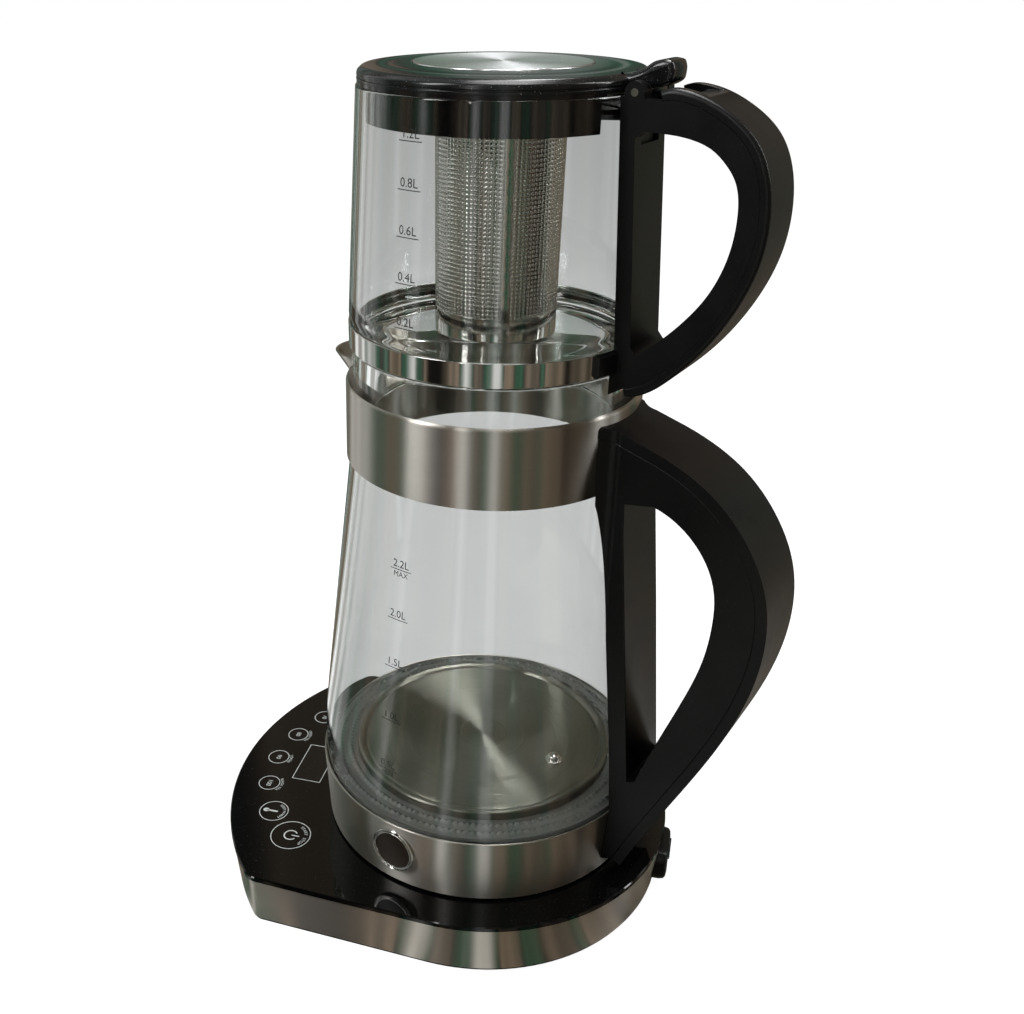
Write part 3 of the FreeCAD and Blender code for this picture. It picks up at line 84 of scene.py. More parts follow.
def finish(name, colour, roughness, metallic=0.0, grain=(900.0, 0.0), cloud=30.0, dust=0.0, stretch=(1, 1, 1),
           anisotropy=0.0, shade=0.0):
    """A surface with its own unevenness. Roughness runs between two values with the cloud, the fine grain
    is a bump of a stated depth in metres, dust lightens a few specks, and shade varies the colour. A brushed
    metal has an anisotropy, and its scratches run round the upright axis."""
    material = bpy.data.materials.new(name)
    material.use_nodes = True
    tree = material.node_tree
    shader = tree.nodes["Principled BSDF"]
    shader.inputs["Metallic"].default_value = metallic
    place = tree.nodes.new("ShaderNodeTexCoord")
    stretched = tree.nodes.new("ShaderNodeMapping")
    stretched.inputs["Scale"].default_value = stretch
    link(tree, place.outputs["Object"], stretched.inputs["Vector"])
    varied = tree.nodes.new("ShaderNodeGroup")
    varied.node_tree = VARIATION
    varied.inputs["Grain Scale"].default_value = grain[0]
    varied.inputs["Cloud Scale"].default_value = cloud
    varied.inputs["Dust Scale"].default_value = 1400.0
    link(tree, stretched.outputs["Vector"], varied.inputs["Vector"])
    spread = tree.nodes.new("ShaderNodeMapRange")
    spread.inputs["From Min"].default_value = 0.3
    spread.inputs["From Max"].default_value = 0.7
    spread.inputs["To Min"].default_value = roughness[0]
    spread.inputs["To Max"].default_value = roughness[1]
    link(tree, varied.outputs["Grain" if shade else "Cloud"], spread.inputs["Value"])
    link(tree, spread.outputs["Result"], shader.inputs["Roughness"])
    tone = tree.nodes.new("ShaderNodeMix")
    tone.data_type = "RGBA"
    tone.inputs["A"].default_value = (*(c * (1 - shade) for c in colour), 1)
    tone.inputs["B"].default_value = (*(min(1, c * (1 + shade)) for c in colour), 1)
    link(tree, varied.outputs["Grain"], tone.inputs["Factor"])
    dusty = tree.nodes.new("ShaderNodeMix")
    dusty.data_type = "RGBA"
    dusty.inputs["B"].default_value = (0.5, 0.5, 0.5, 1)
    amount = tree.nodes.new("ShaderNodeMath")
    amount.operation = "MULTIPLY"
    amount.inputs[1].default_value = dust
    link(tree, varied.outputs["Dust"], amount.inputs[0])
    link(tree, amount.outputs["Value"], dusty.inputs["Factor"])
    link(tree, tone.outputs["Result"], dusty.inputs["A"])
    link(tree, dusty.outputs["Result"], shader.inputs["Base Color"])
    if grain[1]:
        bump = tree.nodes.new("ShaderNodeBump")
        bump.inputs["Distance"].default_value = grain[1]
        link(tree, varied.outputs["Grain"], bump.inputs["Height"])
        link(tree, bump.outputs["Normal"], shader.inputs["Normal"])
    if anisotropy:
        shader.inputs["Anisotropic"].default_value = anisotropy
        shader.inputs["Anisotropic Rotation"].default_value = 0.25
        around = tree.nodes.new("ShaderNodeTangent")
        around.direction_type = "RADIAL"
        around.axis = "Z"
        link(tree, around.outputs["Tangent"], shader.inputs["Tangent"])
    return material


def coat_node(node, material):
    """Gives a carried-over solid its finish."""
    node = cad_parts[node]
    node.data.materials.clear()
    node.data.materials.append(material)


def dress(piece, body, material, nodes=()):
    """Finishes a new piece: its material, the body that it rides on and the solids that it stands for."""
    piece.data.materials.clear()
    piece.data.materials.append(material)
    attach(piece, body)
    if nodes:
        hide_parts(*nodes)
    return piece


gloss_black = finish("panel_gloss", (0.002, 0.0022, 0.0022), (0.03, 0.07), grain=(60.0, 0.0), cloud=14.0, dust=0.06)
gloss_black.node_tree.nodes["Principled BSDF"].inputs["Specular IOR Level"].default_value = 0.35
coat_node("base_panel", gloss_black)
coat_node("display_window", finish("display_tint", (0.002, 0.0025, 0.003), (0.02, 0.05), dust=0.1))


def grid_piece(name, points, wrap_rows=False, wrap_columns=False):
    """A mesh over a grid of points in millimetres, rows by columns. Each four neighbours make a face, and a
    wrapped direction joins its last line to its first. The UV map holds the distances in metres along the
    first column and the first row. Points that fall together are merged, and faces point outwards."""
    points = np.asarray(points, float) * 0.001
    rows, columns = points.shape[:2]
    down = np.arange(rows if wrap_rows else rows - 1)[:, None]
    across = np.arange(columns if wrap_columns else columns - 1)[None, :]
    corners = np.stack([down * columns + across,
                        ((down + 1) % rows) * columns + across,
                        ((down + 1) % rows) * columns + (across + 1) % columns,
                        down * columns + (across + 1) % columns], -1).reshape(-1, 4)
    along = np.cumsum(np.append(0, np.linalg.norm(np.diff(points[:, 0], axis=0), axis=1)))
    over = np.cumsum(np.append(0, np.linalg.norm(np.diff(points[0], axis=0), axis=1)))
    along = np.append(along, along[-1] + np.linalg.norm(points[-1, 0] - points[0, 0]))
    over = np.append(over, over[-1] + np.linalg.norm(points[0, -1] - points[0, 0]))
    shape = np.broadcast_shapes(down.shape, across.shape)
    u = np.stack([np.broadcast_to(along[down + step], shape) for step in (0, 1, 1, 0)], -1)
    v = np.stack([np.broadcast_to(over[across + step], shape) for step in (0, 0, 1, 1)], -1)
    mesh = bpy.data.meshes.new(name)
    mesh.from_pydata(points.reshape(-1, 3).tolist(), [], corners.tolist())
    mesh.uv_layers.new(name="UVMap").data.foreach_set("uv", np.stack([u, v], -1).ravel())
    return tidy_mesh(name, mesh, 35)


def tidy_mesh(name, mesh, sharp):
    """Merges doubles, turns the faces outwards, smooths what is flatter than the sharp angle and links it."""
    build = bmesh.new()
    build.from_mesh(mesh)
    bmesh.ops.remove_doubles(build, verts=build.verts, dist=1e-6)
    bmesh.ops.recalc_face_normals(build, faces=build.faces)
    build.to_mesh(mesh)
    build.free()
    mesh.shade_smooth()
    mesh.set_sharp_from_angle(angle=math.radians(sharp))
    piece = bpy.data.objects.new(name, mesh)
    bpy.context.scene.collection.objects.link(piece)
    return piece


def turned(points, angle=BASE_TURN):
    """Turns points about the upright axis: x and y by the cosine and sine of the angle."""
    points = np.asarray(points, float)
    x, y, z = points[..., 0], points[..., 1], points[..., 2]
    return np.stack([x * math.cos(angle) - y * math.sin(angle), x * math.sin(angle) + y * math.cos(angle), z], -1)


PRINT_TOP = PANEL_TOP + 0.03
print_ink = finish("print_ink", (0.62, 0.66, 0.64), (0.4, 0.5), grain=(2500.0, 0.0), shade=0.12)


def printed_ring(name, x, y, radius, width):
    """A flat printed ring: two circles a line's width apart, at the height of the print."""
    angle = np.linspace(0, 2 * np.pi, 96, endpoint=False)[:, None]
    reach = np.array([[radius - width, radius]])
    ring = np.stack([x + reach * np.cos(angle), y + reach * np.sin(angle), np.full((96, 2), PRINT_TOP)], -1)
    return dress(grid_piece(name, turned(ring), wrap_rows=True), "base", print_ink)


def printed_bar(name, start, stop, width):
    """A straight printed line with round ends, from one place to another."""
    start, stop = np.array(start, float), np.array(stop, float)
    heading = math.atan2(*(stop - start)[::-1])
    ends = np.where(np.arange(24) < 12, heading + np.pi / 2, heading - np.pi / 2)
    angle = ends + np.tile(np.linspace(0, np.pi, 12), 2)
    middle = np.where((np.arange(24) < 12)[:, None], start, stop)
    rim = middle + width / 2 * np.stack([np.cos(angle), np.sin(angle)], -1)
    flat = np.stack([rim, np.broadcast_to((start + stop) / 2, rim.shape)], 1)
    flat = np.concatenate([flat, np.full((24, 2, 1), PRINT_TOP)], -1)
    return dress(grid_piece(name, turned(flat), wrap_rows=True), "base", print_ink)


def words_mesh(text, height):
    """Plain lettering as a flat mesh, with its middle at the origin."""
    curve = bpy.data.curves.new("lettering", "FONT")
    curve.body = text
    curve.size = height * 1.4 * 0.001
    curve.align_x = "CENTER"
    curve.align_y = "CENTER"
    curve.resolution_u = 3
    holder = bpy.data.objects.new("lettering", curve)
    mesh = bpy.data.meshes.new_from_object(holder)
    bpy.data.objects.remove(holder)
    bpy.data.curves.remove(curve)
    flat = np.empty(len(mesh.vertices) * 3)
    mesh.vertices.foreach_get("co", flat)
    return mesh, flat.reshape(-1, 3) * 1000


def place_words(name, mesh, points, body, ink):
    """Puts the lettering's moved points, in millimetres, back into its mesh and finishes it."""
    mesh.vertices.foreach_set("co", (points * 0.001).ravel())
    mesh.name = name
    piece = bpy.data.objects.new(name, mesh)
    bpy.context.scene.collection.objects.link(piece)
    return dress(piece, body, ink)


def panel_words(name, text, x, y, height, turn, bend=0.0):
    """Printed lettering on the panel. With a bend, the line is rolled round a circle of that radius: the
    angle is the distance along the line over the radius, and the distance out is the radius plus height."""
    mesh, flat = words_mesh(text, height)
    if bend:
        angle = turn - flat[:, 0] / bend
        out = abs(bend) + flat[:, 1]
        flat = np.stack([x + out * np.cos(angle), y + out * np.sin(angle), flat[:, 2] * 0 + PRINT_TOP], -1)
    else:
        c, s = math.cos(turn), math.sin(turn)
        flat = np.stack([x + flat[:, 0] * c - flat[:, 1] * s, y + flat[:, 0] * s + flat[:, 1] * c,
                         flat[:, 2] * 0 + PRINT_TOP], -1)
    return place_words(name, mesh, turned(flat), "base", print_ink)


# Touch keys: rings printed in an arc along the panel's front edge, each with its figure or sign and a
# word bent round it, and the frame of the display between them and the kettle. The figures are read from
# the panel's far side.
READ = math.radians(-90)
LEANING = math.radians(10)
WARM_KEY = (-102.9, -44.1)
POWER_KEY = (-87.6, -59.5)
for name, figure, word, x, y, radius in (
    ("key_100", "100", "BLACK TEA", -113.9, -22.8, 5.9),
    ("key_90", "90", "COFFEE", -117.2, 0.0, 5.9),
    ("key_80", "80", "GREEN TEA", -113.9, 22.8, 5.8),
    ("key_70", "70", "WHITE TEA", -104.8, 42.8, 5.8),
):
    printed_ring(name + "_ring", x, y, radius, 0.4)
    panel_words(name + "_figure", figure, x, y, 2.6, READ)
    panel_words(name + "_word", word, x, y, 1.5, 0.0, radius + 1.3)
printed_ring("key_warm_ring", *WARM_KEY, 7.8, 0.4)
panel_words("key_warm_word", "KEEP WARM", *WARM_KEY, 1.5, LEANING, 5.6)
printed_bar("key_warm_handle", (-101.2, -44.1), (-106.4, -44.1), 1.1)
printed_bar("key_warm_bulb", (-107.0, -44.1), (-107.4, -44.1), 2.8)
printed_ring("key_power_ring", *POWER_KEY, 10.5, 0.45)
panel_words("key_power_word", "START   STOP", *POWER_KEY, 1.7, LEANING, 7.8)
ring_angle = np.linspace(math.radians(35), math.radians(325), 72)[:, None]
ring_reach = np.array([[3.0, 3.7]])
power = np.stack([POWER_KEY[0] + ring_reach * np.cos(ring_angle), POWER_KEY[1] + ring_reach * np.sin(ring_angle),
                  np.full((72, 2), PRINT_TOP)], -1)
dress(grid_piece("key_power_sign", turned(power)), "base", print_ink)
printed_bar("key_power_bar", (-86.8, -59.5), (-83.2, -59.5), 0.7)
window_corner = np.array([(-103.5, -15.7), (-87.2, -15.7), (-87.2, 15.7), (-103.5, 15.7)])
window_middle = np.array([-95.35, 0])
frame_lines = window_middle + (window_corner - window_middle)[:, None] * np.array([[1.0, 1.0], [0.955, 0.975]])
frame_lines = np.concatenate([frame_lines, np.full((4, 2, 1), PRINT_TOP)], -1)
dress(grid_piece("display_frame_print", turned(frame_lines), wrap_rows=True), "base", print_ink)

# Side band: a strip of steel brushed lengthwise, bent round the base and leaning in towards the table.


def rounded(corners, radius, steps):
    """Softens a closed profile. At each corner a parabola runs from a radius before it to a radius after it,
    and never further than 0.38 of the way to the next corner, with one more point just outside each end."""
    corner = np.asarray(corners, float)
    back = np.roll(corner, 1, 0) - corner
    ahead = np.roll(corner, -1, 0) - corner
    short = np.minimum(np.linalg.norm(back, axis=1), np.linalg.norm(ahead, axis=1))
    reach = np.minimum(radius, 0.38 * short)[:, None]
    back = back / np.linalg.norm(back, axis=1)[:, None] * reach
    ahead = ahead / np.linalg.norm(ahead, axis=1)[:, None] * reach
    t = np.linspace(0, 1, steps)[None, :, None]
    curve = corner[:, None] + (1 - t) ** 2 * back[:, None] + t ** 2 * ahead[:, None]
    ends = [(corner + 1.25 * side)[:, None] for side in (back, ahead)]
    return np.concatenate([ends[0], curve, ends[1]], 1).reshape(-1, curve.shape[-1])


def base_edge(inset):
    """The base seen from above, shrunk by an inset, as points about the kettle's axis. Four arcs follow each
    other: the round base, a corner, the panel's far edge and the other corner. Each point is its arc's
    centre plus the arc's radius, less the inset, along the point's angle."""
    disc, far, corner, polar = 98.7, 135.0, 10.0, math.radians(42)
    bend = polar + math.acos((disc - corner) / (far - corner))
    arcs = ((0, 0, disc, bend - np.pi, np.pi - bend, 260),
            (corner - far, polar, corner, np.pi - bend, np.pi - polar, 24),
            (0, 0, far, np.pi - polar, np.pi + polar, 120),
            (corner - far, -polar, corner, np.pi + polar, np.pi + bend, 24))
    run = []
    for reach, turn, radius, start, stop, count in arcs:
        angle = np.linspace(start, stop, count)[:, None]
        centre = reach * np.array([[math.cos(turn), -math.sin(turn)]])
        run.append(centre + (radius - inset) * np.concatenate([np.cos(angle), np.sin(angle)], 1))
    return np.concatenate(run)


def banded(name, profile):
    """Carries a profile of (inset, height) round the base: each row of points is one place on the edge."""
    lines = [np.insert(base_edge(inset), 2, height, axis=1) for inset, height in profile]
    return grid_piece(name, turned(np.stack(lines, 1)), wrap_rows=True, wrap_columns=True)


steel_band = finish("steel_band", (0.50, 0.46, 0.41), (0.30, 0.36), 1.0, (90.0, 0.00001), 30.0,
                    stretch=(1, 1, 60), anisotropy=1.0, shade=0.10)
band = banded("side_band", rounded([(3.0, 3.2), (0.4, 30.0), (1.2, 30.0), (3.8, 3.2)], 0.25, 4))
dress(band, "base", steel_band, ["base_band"])

# Lower shell, connector and feet: satin black plastic with a fine spark-eroded grain, and soft rubber.
satin_black = finish("satin_plastic", (0.004, 0.004, 0.0045), (0.27, 0.36), grain=(1500.0, 0.00002), cloud=45.0,
                     dust=0.03)
satin_black.node_tree.nodes["Principled BSDF"].inputs["Specular IOR Level"].default_value = 0.30
rubber = finish("rubber", (0.02, 0.02, 0.02), (0.6, 0.75), grain=(900.0, 0.00004))


def eased(node, name, width):
    """A copy of a solid with its doubles merged and its sharp edges rounded by a bevel of a width in mm."""
    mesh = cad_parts[node].data.copy()
    mesh.name = name
    build = bmesh.new()
    build.from_mesh(mesh)
    bmesh.ops.remove_doubles(build, verts=build.verts, dist=2e-6)
    bmesh.ops.dissolve_limit(build, angle_limit=math.radians(1.0), verts=build.verts, edges=build.edges)
    build.to_mesh(mesh)
    build.free()
    mesh.shade_smooth()
    piece = bpy.data.objects.new(name, mesh)
    bpy.context.scene.collection.objects.link(piece)
    bevel = piece.modifiers.new("edges", "BEVEL")
    bevel.width = width * 0.001
    bevel.segments = 3
    bevel.angle_limit = math.radians(40)
    bevel.harden_normals = False
    normals = piece.modifiers.new("normals", "WEIGHTED_NORMAL")
    normals.keep_sharp = False
    return piece


for node in ("base_shell", "base_connector", "connector_swivel", "kettle_cover", "kettle_socket"):
    coat_node(node, satin_black)
for number in range(1, 6):
    coat_node("base_foot_%d" % number, rubber)

# Cord outlet: a small rounded lobe of the shell's plastic behind the base, and in it a rubber ring about
# the cord's level hole. The ring is a profile of (radius, distance out) turned about the hole. The lobe is
# one loop carried outwards while it shrinks about its middle.
CORD_HEIGHT = 17.05
grommet_line = rounded([(3.7, 100.9), (5.4, 100.9), (5.4, 102.4), (5.6, 102.5), (5.2, 103.0), (3.7, 103.0)],
                       [0.2, 0.2, 0.2, 0.4, 0.6, 0.3], 5)
grommet_turn = np.linspace(0, 2 * np.pi, 48, endpoint=False)[:, None]
grommet_points = np.stack([np.broadcast_to(grommet_line[:, 1], (48, len(grommet_line))),
                           grommet_line[:, 0] * np.cos(grommet_turn),
                           CORD_HEIGHT + grommet_line[:, 0] * np.sin(grommet_turn)], -1)
dress(grid_piece("cord_grommet_ring", turned(grommet_points), wrap_rows=True, wrap_columns=True), "base",
      rubber, ["cord_grommet"])
outlet_middle = np.array([-1.0, 14.5])
outlet_loop = rounded([(-15, 5.5), (13, 5.5), (13, 23.5), (-15, 23.5)], 8, 8)
outlet_shrink = np.array([1, 0, 0, 0.04, 0.13, 0.34, 1])[:, None, None]
outlet_out = np.array([92, 92, 98.5, 100.9, 101.9, 102.3, 102.3])[:, None, None]
outlet_sides = outlet_middle + (outlet_loop - outlet_middle) * (1 - outlet_shrink)
outlet_points = np.concatenate([np.broadcast_to(outlet_out, (*outlet_sides.shape[:2], 1)), outlet_sides], -1)
dress(grid_piece("cord_outlet_housing", turned(outlet_points), wrap_columns=True), "base", satin_black,
      ["cord_outlet"])

# Inside the base: four plated screws, the printed board and the display's case.
screw_steel = finish("zinc_plate", (0.45, 0.45, 0.44), (0.3, 0.45), 1.0, (400.0, 0.00002))
for number in range(1, 5):
    coat_node("base_screw_%d" % number, screw_steel)
coat_node("control_board", finish("circuit_board", (0.01, 0.08, 0.03), (0.35, 0.5), grain=(300.0, 0.00002)))
coat_node("display_module", finish("display_case", (0.05, 0.05, 0.055), (0.4, 0.5), grain=(700.0, 0.00002)))

# Kettle foot ring: a steel hoop brushed round, which holds the glass, the seal and the heating plate. KETTLE
# is the height at which the kettle stands.
KETTLE = 34.0


def lathe(name, profile, height=0.0, segments=256, centre=(0.0, 0.0)):
    """Turns a profile of (radius, height) about an upright axis: x and y are the radius times the cosine
    and sine of the turn, and z is the height. The profile is closed, so it makes a ring or a solid."""
    profile = np.asarray(profile, float)
    angle = np.linspace(0, 2 * np.pi, segments, endpoint=False)[:, None]
    radius = np.maximum(profile[None, :, 0], 0)
    points = np.stack([centre[0] + radius * np.cos(angle), centre[1] + radius * np.sin(angle),
                       np.broadcast_to(profile[None, :, 1] + height, (segments, len(profile)))], -1)
    return grid_piece(name, points, wrap_rows=True, wrap_columns=True)


steel_ring = finish("steel_ring", (0.54, 0.51, 0.47), (0.30, 0.36), 1.0, (70.0, 0.00001), 30.0,
                    stretch=(1, 1, 80), anisotropy=1.0, shade=0.10)
ring = lathe("foot_ring", rounded([(80.3, 0), (81.3, 0), (83.3, 35), (82.3, 35), (82.1, 31), (60, 31), (60, 30),
                                   (82.0, 30)], [0.3, 0.3, 0.5, 0.3, 0.2, 0.2, 0.2, 0.2], 5), KETTLE)
dress(ring, "kettle", steel_ring, ["kettle_ring"])

# Round badge on the ring: a thin polished bezel round a dark dished face.
polished = finish("polished_steel", (0.66, 0.65, 0.63), (0.05, 0.11), 1.0, (220.0, 0.000002), 40.0)
BADGE_HEIGHT = 53.5


def badge_turned(name, profile):
    """Turns a profile of (radius, distance out) about the badge's level axis, which points along -Y."""
    profile = np.asarray(profile, float)
    angle = np.linspace(0, 2 * np.pi, 96, endpoint=False)[:, None]
    radius = np.maximum(profile[None, :, 0], 0)
    points = np.stack([radius * np.cos(angle), np.broadcast_to(-profile[None, :, 1], (96, len(profile))),
                       BADGE_HEIGHT + radius * np.sin(angle)], -1)
    return grid_piece(name, points, wrap_rows=True, wrap_columns=True)


bezel = badge_turned("badge_bezel_ring", rounded([
    (12.0, 81.6), (11.9, 83.4), (11.5, 83.8), (11.0, 83.1), (10.6, 83.1), (10.3, 84.0), (9.8, 84.0), (9.6, 83.3),
    (9.6, 81.6)], [0.1, 0.2, 0.3, 0.2, 0.2, 0.3, 0.3, 0.2, 0.1], 5))
dress(bezel, "kettle", polished, ["badge_bezel"])
badge_gloss = finish("badge_gloss", (0.022, 0.015, 0.010), (0.28, 0.36), grain=(500.0, 0.0), dust=0.05)
dish = np.linspace(9.55, 0, 24)
face = badge_turned("badge_dish", np.concatenate([[(0, 82.0), (9.55, 82.0)],
                                                  np.stack([dish, 82.65 + 0.6 * (dish / 9.55) ** 2], -1)]))
dress(face, "kettle", badge_gloss, ["badge_face"])

# Heating plate: a pressed steel disc, brushed in circles, with a bright raised bead and rim, a domed
# temperature probe, and under it a cast spreader with the heating element.
plate_steel = finish("plate_steel", (0.26, 0.255, 0.22), (0.26, 0.34), 1.0, (40.0, 0.00001), 20.0,
                     anisotropy=1.0, shade=0.10)
rings = plate_steel.node_tree
around = rings.nodes.new("ShaderNodeVectorMath")
around.operation = "MULTIPLY"
around.inputs[1].default_value = (1, 1, 0)
out = rings.nodes.new("ShaderNodeVectorMath")
out.operation = "LENGTH"
circle_place = rings.nodes.new("ShaderNodeCombineXYZ")
mapping = next(n for n in rings.nodes if n.bl_idname == "ShaderNodeMapping")
link(rings, next(n for n in rings.nodes if n.bl_idname == "ShaderNodeTexCoord").outputs["Object"], around.inputs[0])
link(rings, around.outputs["Vector"], out.inputs[0])
link(rings, out.outputs["Value"], circle_place.inputs["X"])
link(rings, circle_place.outputs["Vector"], mapping.inputs["Vector"])
mapping.inputs["Scale"].default_value = (60, 1, 1)
plate = lathe("plate_disc", rounded([
    (0, 37.8), (63.1, 37.8), (63.1, 31), (65.5, 31), (65.5, 39.6), (64.4, 40.2), (62.6, 39.6), (61.4, 38.5),
    (60.4, 38.9), (59.0, 39.0), (0, 39.0)], [0, 0.3, 0.3, 0.3, 0.8, 0.8, 0.8, 0.8, 0.6, 0.6, 0], 5), KETTLE)
dress(plate, "kettle", plate_steel, ["heating_plate"])
coat_node("heat_spreader", screw_steel)
coat_node("heating_element", screw_steel)
probe = lathe("probe_dome", rounded([(0, 0), (4.2, 0), (4.2, 1.0), (3.0, 1.1), (2.9, 3.2), (0, 4.0)],
                                    [0, 0.2, 0.3, 0.2, 1.2, 0], 6), KETTLE + 39.0, 48, (42.0, 0.0))
dress(probe, "kettle", polished, ["temperature_probe"])

# Seal: a clear silicone ring pressed between plate and glass, with two rows of small moulded beads. Its top
# rises in two soft ridges, and a cosine along the turn cuts each ridge into beads.
def clear(name, colour, roughness, ior):
    """A clear solid: light passes through it, bent by its index and coloured a little."""
    material = bpy.data.materials.new(name)
    material.use_nodes = True
    tree = material.node_tree
    shader = tree.nodes["Principled BSDF"]
    shader.inputs["Transmission Weight"].default_value = 1.0
    shader.inputs["IOR"].default_value = ior
    place = tree.nodes.new("ShaderNodeTexCoord")
    varied = tree.nodes.new("ShaderNodeGroup")
    varied.node_tree = VARIATION
    varied.inputs["Grain Scale"].default_value = 160.0
    varied.inputs["Cloud Scale"].default_value = 22.0
    varied.inputs["Dust Scale"].default_value = 1600.0
    link(tree, place.outputs["Object"], varied.inputs["Vector"])
    spread = tree.nodes.new("ShaderNodeMapRange")
    spread.inputs["From Min"].default_value = 0.35
    spread.inputs["From Max"].default_value = 0.75
    spread.inputs["To Min"].default_value = roughness[0]
    spread.inputs["To Max"].default_value = roughness[1]
    link(tree, varied.outputs["Cloud"], spread.inputs["Value"])
    link(tree, spread.outputs["Result"], shader.inputs["Roughness"])
    tone = tree.nodes.new("ShaderNodeMix")
    tone.data_type = "RGBA"
    tone.inputs["A"].default_value = (*colour, 1)
    tone.inputs["B"].default_value = (*(c * 0.97 for c in colour), 1)
    link(tree, varied.outputs["Cloud"], tone.inputs["Factor"])
    link(tree, tone.outputs["Result"], shader.inputs["Base Color"])
    bump = tree.nodes.new("ShaderNodeBump")
    bump.inputs["Distance"].default_value = 0.0003
    bump.inputs["Strength"].default_value = 0.15
    link(tree, varied.outputs["Cloud"], bump.inputs["Height"])
    link(tree, bump.outputs["Normal"], shader.inputs["Normal"])
    return material


silicone = clear("clear_silicone", (0.36, 0.37, 0.34), (0.06, 0.12), 1.41)
silicone.node_tree.nodes["Principled BSDF"].inputs["Transmission Weight"].default_value = 0.35
seal_line = np.linspace(0, 1, 40)
seal_radius = 65.8 + 13.3 * seal_line
seal_angle = np.linspace(0, 2 * np.pi, 900, endpoint=False)[:, None]
rows_of_beads = (np.exp(-((seal_line - 0.30) / 0.07) ** 2) + np.exp(-((seal_line - 0.72) / 0.07) ** 2))[None]
beads = 36.0 + 1.5 * rows_of_beads * (0.25 + 0.75 * np.abs(np.cos(seal_angle * 75)))
seal_top = np.stack([seal_radius * np.cos(seal_angle), seal_radius * np.sin(seal_angle), beads + KETTLE], -1)
seal_low = seal_top[:, [-1, 0]].copy()
seal_low[..., 2] = 31.0 + KETTLE
seal = grid_piece("plate_seal_ring", np.concatenate([seal_top, seal_low], 1), wrap_rows=True, wrap_columns=True)
dress(seal, "kettle", silicone, ["plate_seal"])

# Kettle glass: a blown tapered cylinder with an even wall, printed with dark volume marks.
glass = clear("clear_glass", (0.97, 0.985, 0.98), (0.0, 0.015), 1.47)
glass_outer = [(81.92, 31), (81.92, 55), (80.3, 72), (65.95, 199.7), (65.45, 222.9)]
glass_inner = [(62.85, 222.9), (63.35, 199.7), (77.7, 72), (79.32, 55), (79.32, 31)]
kettle_glass = lathe("kettle_glass_wall", rounded(glass_outer + glass_inner,
                                                  [0.8, 14, 14, 3, 0.8, 0.8, 3, 14, 14, 0.8], 8), KETTLE, 288)
dress(kettle_glass, "kettle", glass, ["kettle_glass"])
mark_ink = finish("mark_ink", (0.02, 0.02, 0.02), (0.35, 0.45), grain=(2500.0, 0.0), shade=0.1)
KETTLE_MARKS = math.radians(-93)
KETTLE_LEAN = 0.109


def glass_words(name, text, height, radius, z, turn, lean, body):
    """Lettering on the glass: the line is wrapped round the wall, so the angle is the distance along it over
    the radius, and the wall's lean moves each point out with its height."""
    mesh, flat = words_mesh(text, height)
    angle = turn + flat[:, 0] / radius
    out = radius + 0.06 - flat[:, 1] * lean
    points = np.stack([out * np.cos(angle), out * np.sin(angle), z + flat[:, 1]], -1)
    return place_words(name, mesh, points, body, mark_ink)


def glass_line(name, width, radius, z, turn, lean, body):
    """A thin level line printed on the glass, 0.36 mm high, which follows the wall as the lettering does."""
    angle = turn + np.linspace(-width / 2, width / 2, 16)[:, None] / radius
    height = np.array([[-0.18, 0.18]])
    out = radius + 0.06 - height * lean
    points = np.stack([out * np.cos(angle), out * np.sin(angle), np.broadcast_to(z + height, (16, 2))], -1)
    return dress(grid_piece(name, points), body, mark_ink)


for text, z, radius in (("2.2L", 200.5, 69.65), ("2.0L", 176.5, 72.25), ("1.5L", 152.5, 74.9), ("1.0L", 125.0, 77.9),
                        ("0.5L", 99.0, 80.7)):
    label = text.replace(".", "_")
    glass_words("kettle_mark_" + label, text, 3.6, radius, z + 2.6, KETTLE_MARKS, KETTLE_LEAN, "kettle")
    glass_line("kettle_line_" + label, 11.0, radius + 0.28, z, KETTLE_MARKS, KETTLE_LEAN, "kettle")
glass_words("kettle_mark_max", "MAX", 2.6, 69.95, 198.1, KETTLE_MARKS, KETTLE_LEAN, "kettle")
glass_words("kettle_mark_min", "MIN", 2.6, 80.95, 96.6, KETTLE_MARKS, KETTLE_LEAN, "kettle")

# Collar: a drawn steel hoop brushed round, with a rolled rim, a pouring lip pressed out of it and an
# inner ledge that carries the teapot. The lip starts low on the wall as a small circle and grows to the rim.
COLLAR_FOOT, COLLAR_RISE = 200.7, 36.4
LIP_FOOT, LIP_RISE = 210.1, 27.0
LIP_RADIUS = (2.5, 17.0)
LIP_MIDDLE = (64.7, 69.0)
collar_steel = finish("steel_collar", (0.54, 0.505, 0.465), (0.30, 0.36), 1.0, (70.0, 0.00001), 30.0,
                      stretch=(1, 1, 80), anisotropy=1.0, shade=0.08)
collar_angle = np.linspace(0, 2 * np.pi, 480, endpoint=False)[:, None]


def lipped(radius, height, wall):
    """The collar's wall with its lip, as a radius for each angle and height. The lip is a circle whose
    middle lies towards -X and which grows from nothing to full size at the rim. Where a ray meets it
    beyond the round wall, the wall follows it, with a soft blend between the two."""
    grow = np.clip((height - LIP_FOOT) / LIP_RISE, 0, 1)
    size = LIP_RADIUS[0] + (LIP_RADIUS[1] - LIP_RADIUS[0]) * grow - wall
    middle = LIP_MIDDLE[0] + (LIP_MIDDLE[1] - LIP_MIDDLE[0]) * grow
    beside = np.cos(collar_angle - np.pi)
    aside = np.sin(collar_angle - np.pi)
    inside = size ** 2 - (middle * aside) ** 2
    reach = np.where((inside > 0) & (beside > 0), middle * beside + np.sqrt(np.maximum(inside, 0)), 0)
    soft = 1.6
    gap = np.clip(0.5 + 0.5 * (reach - radius) / soft, 0, 1)
    return radius + (reach - radius) * gap + soft * gap * (1 - gap)


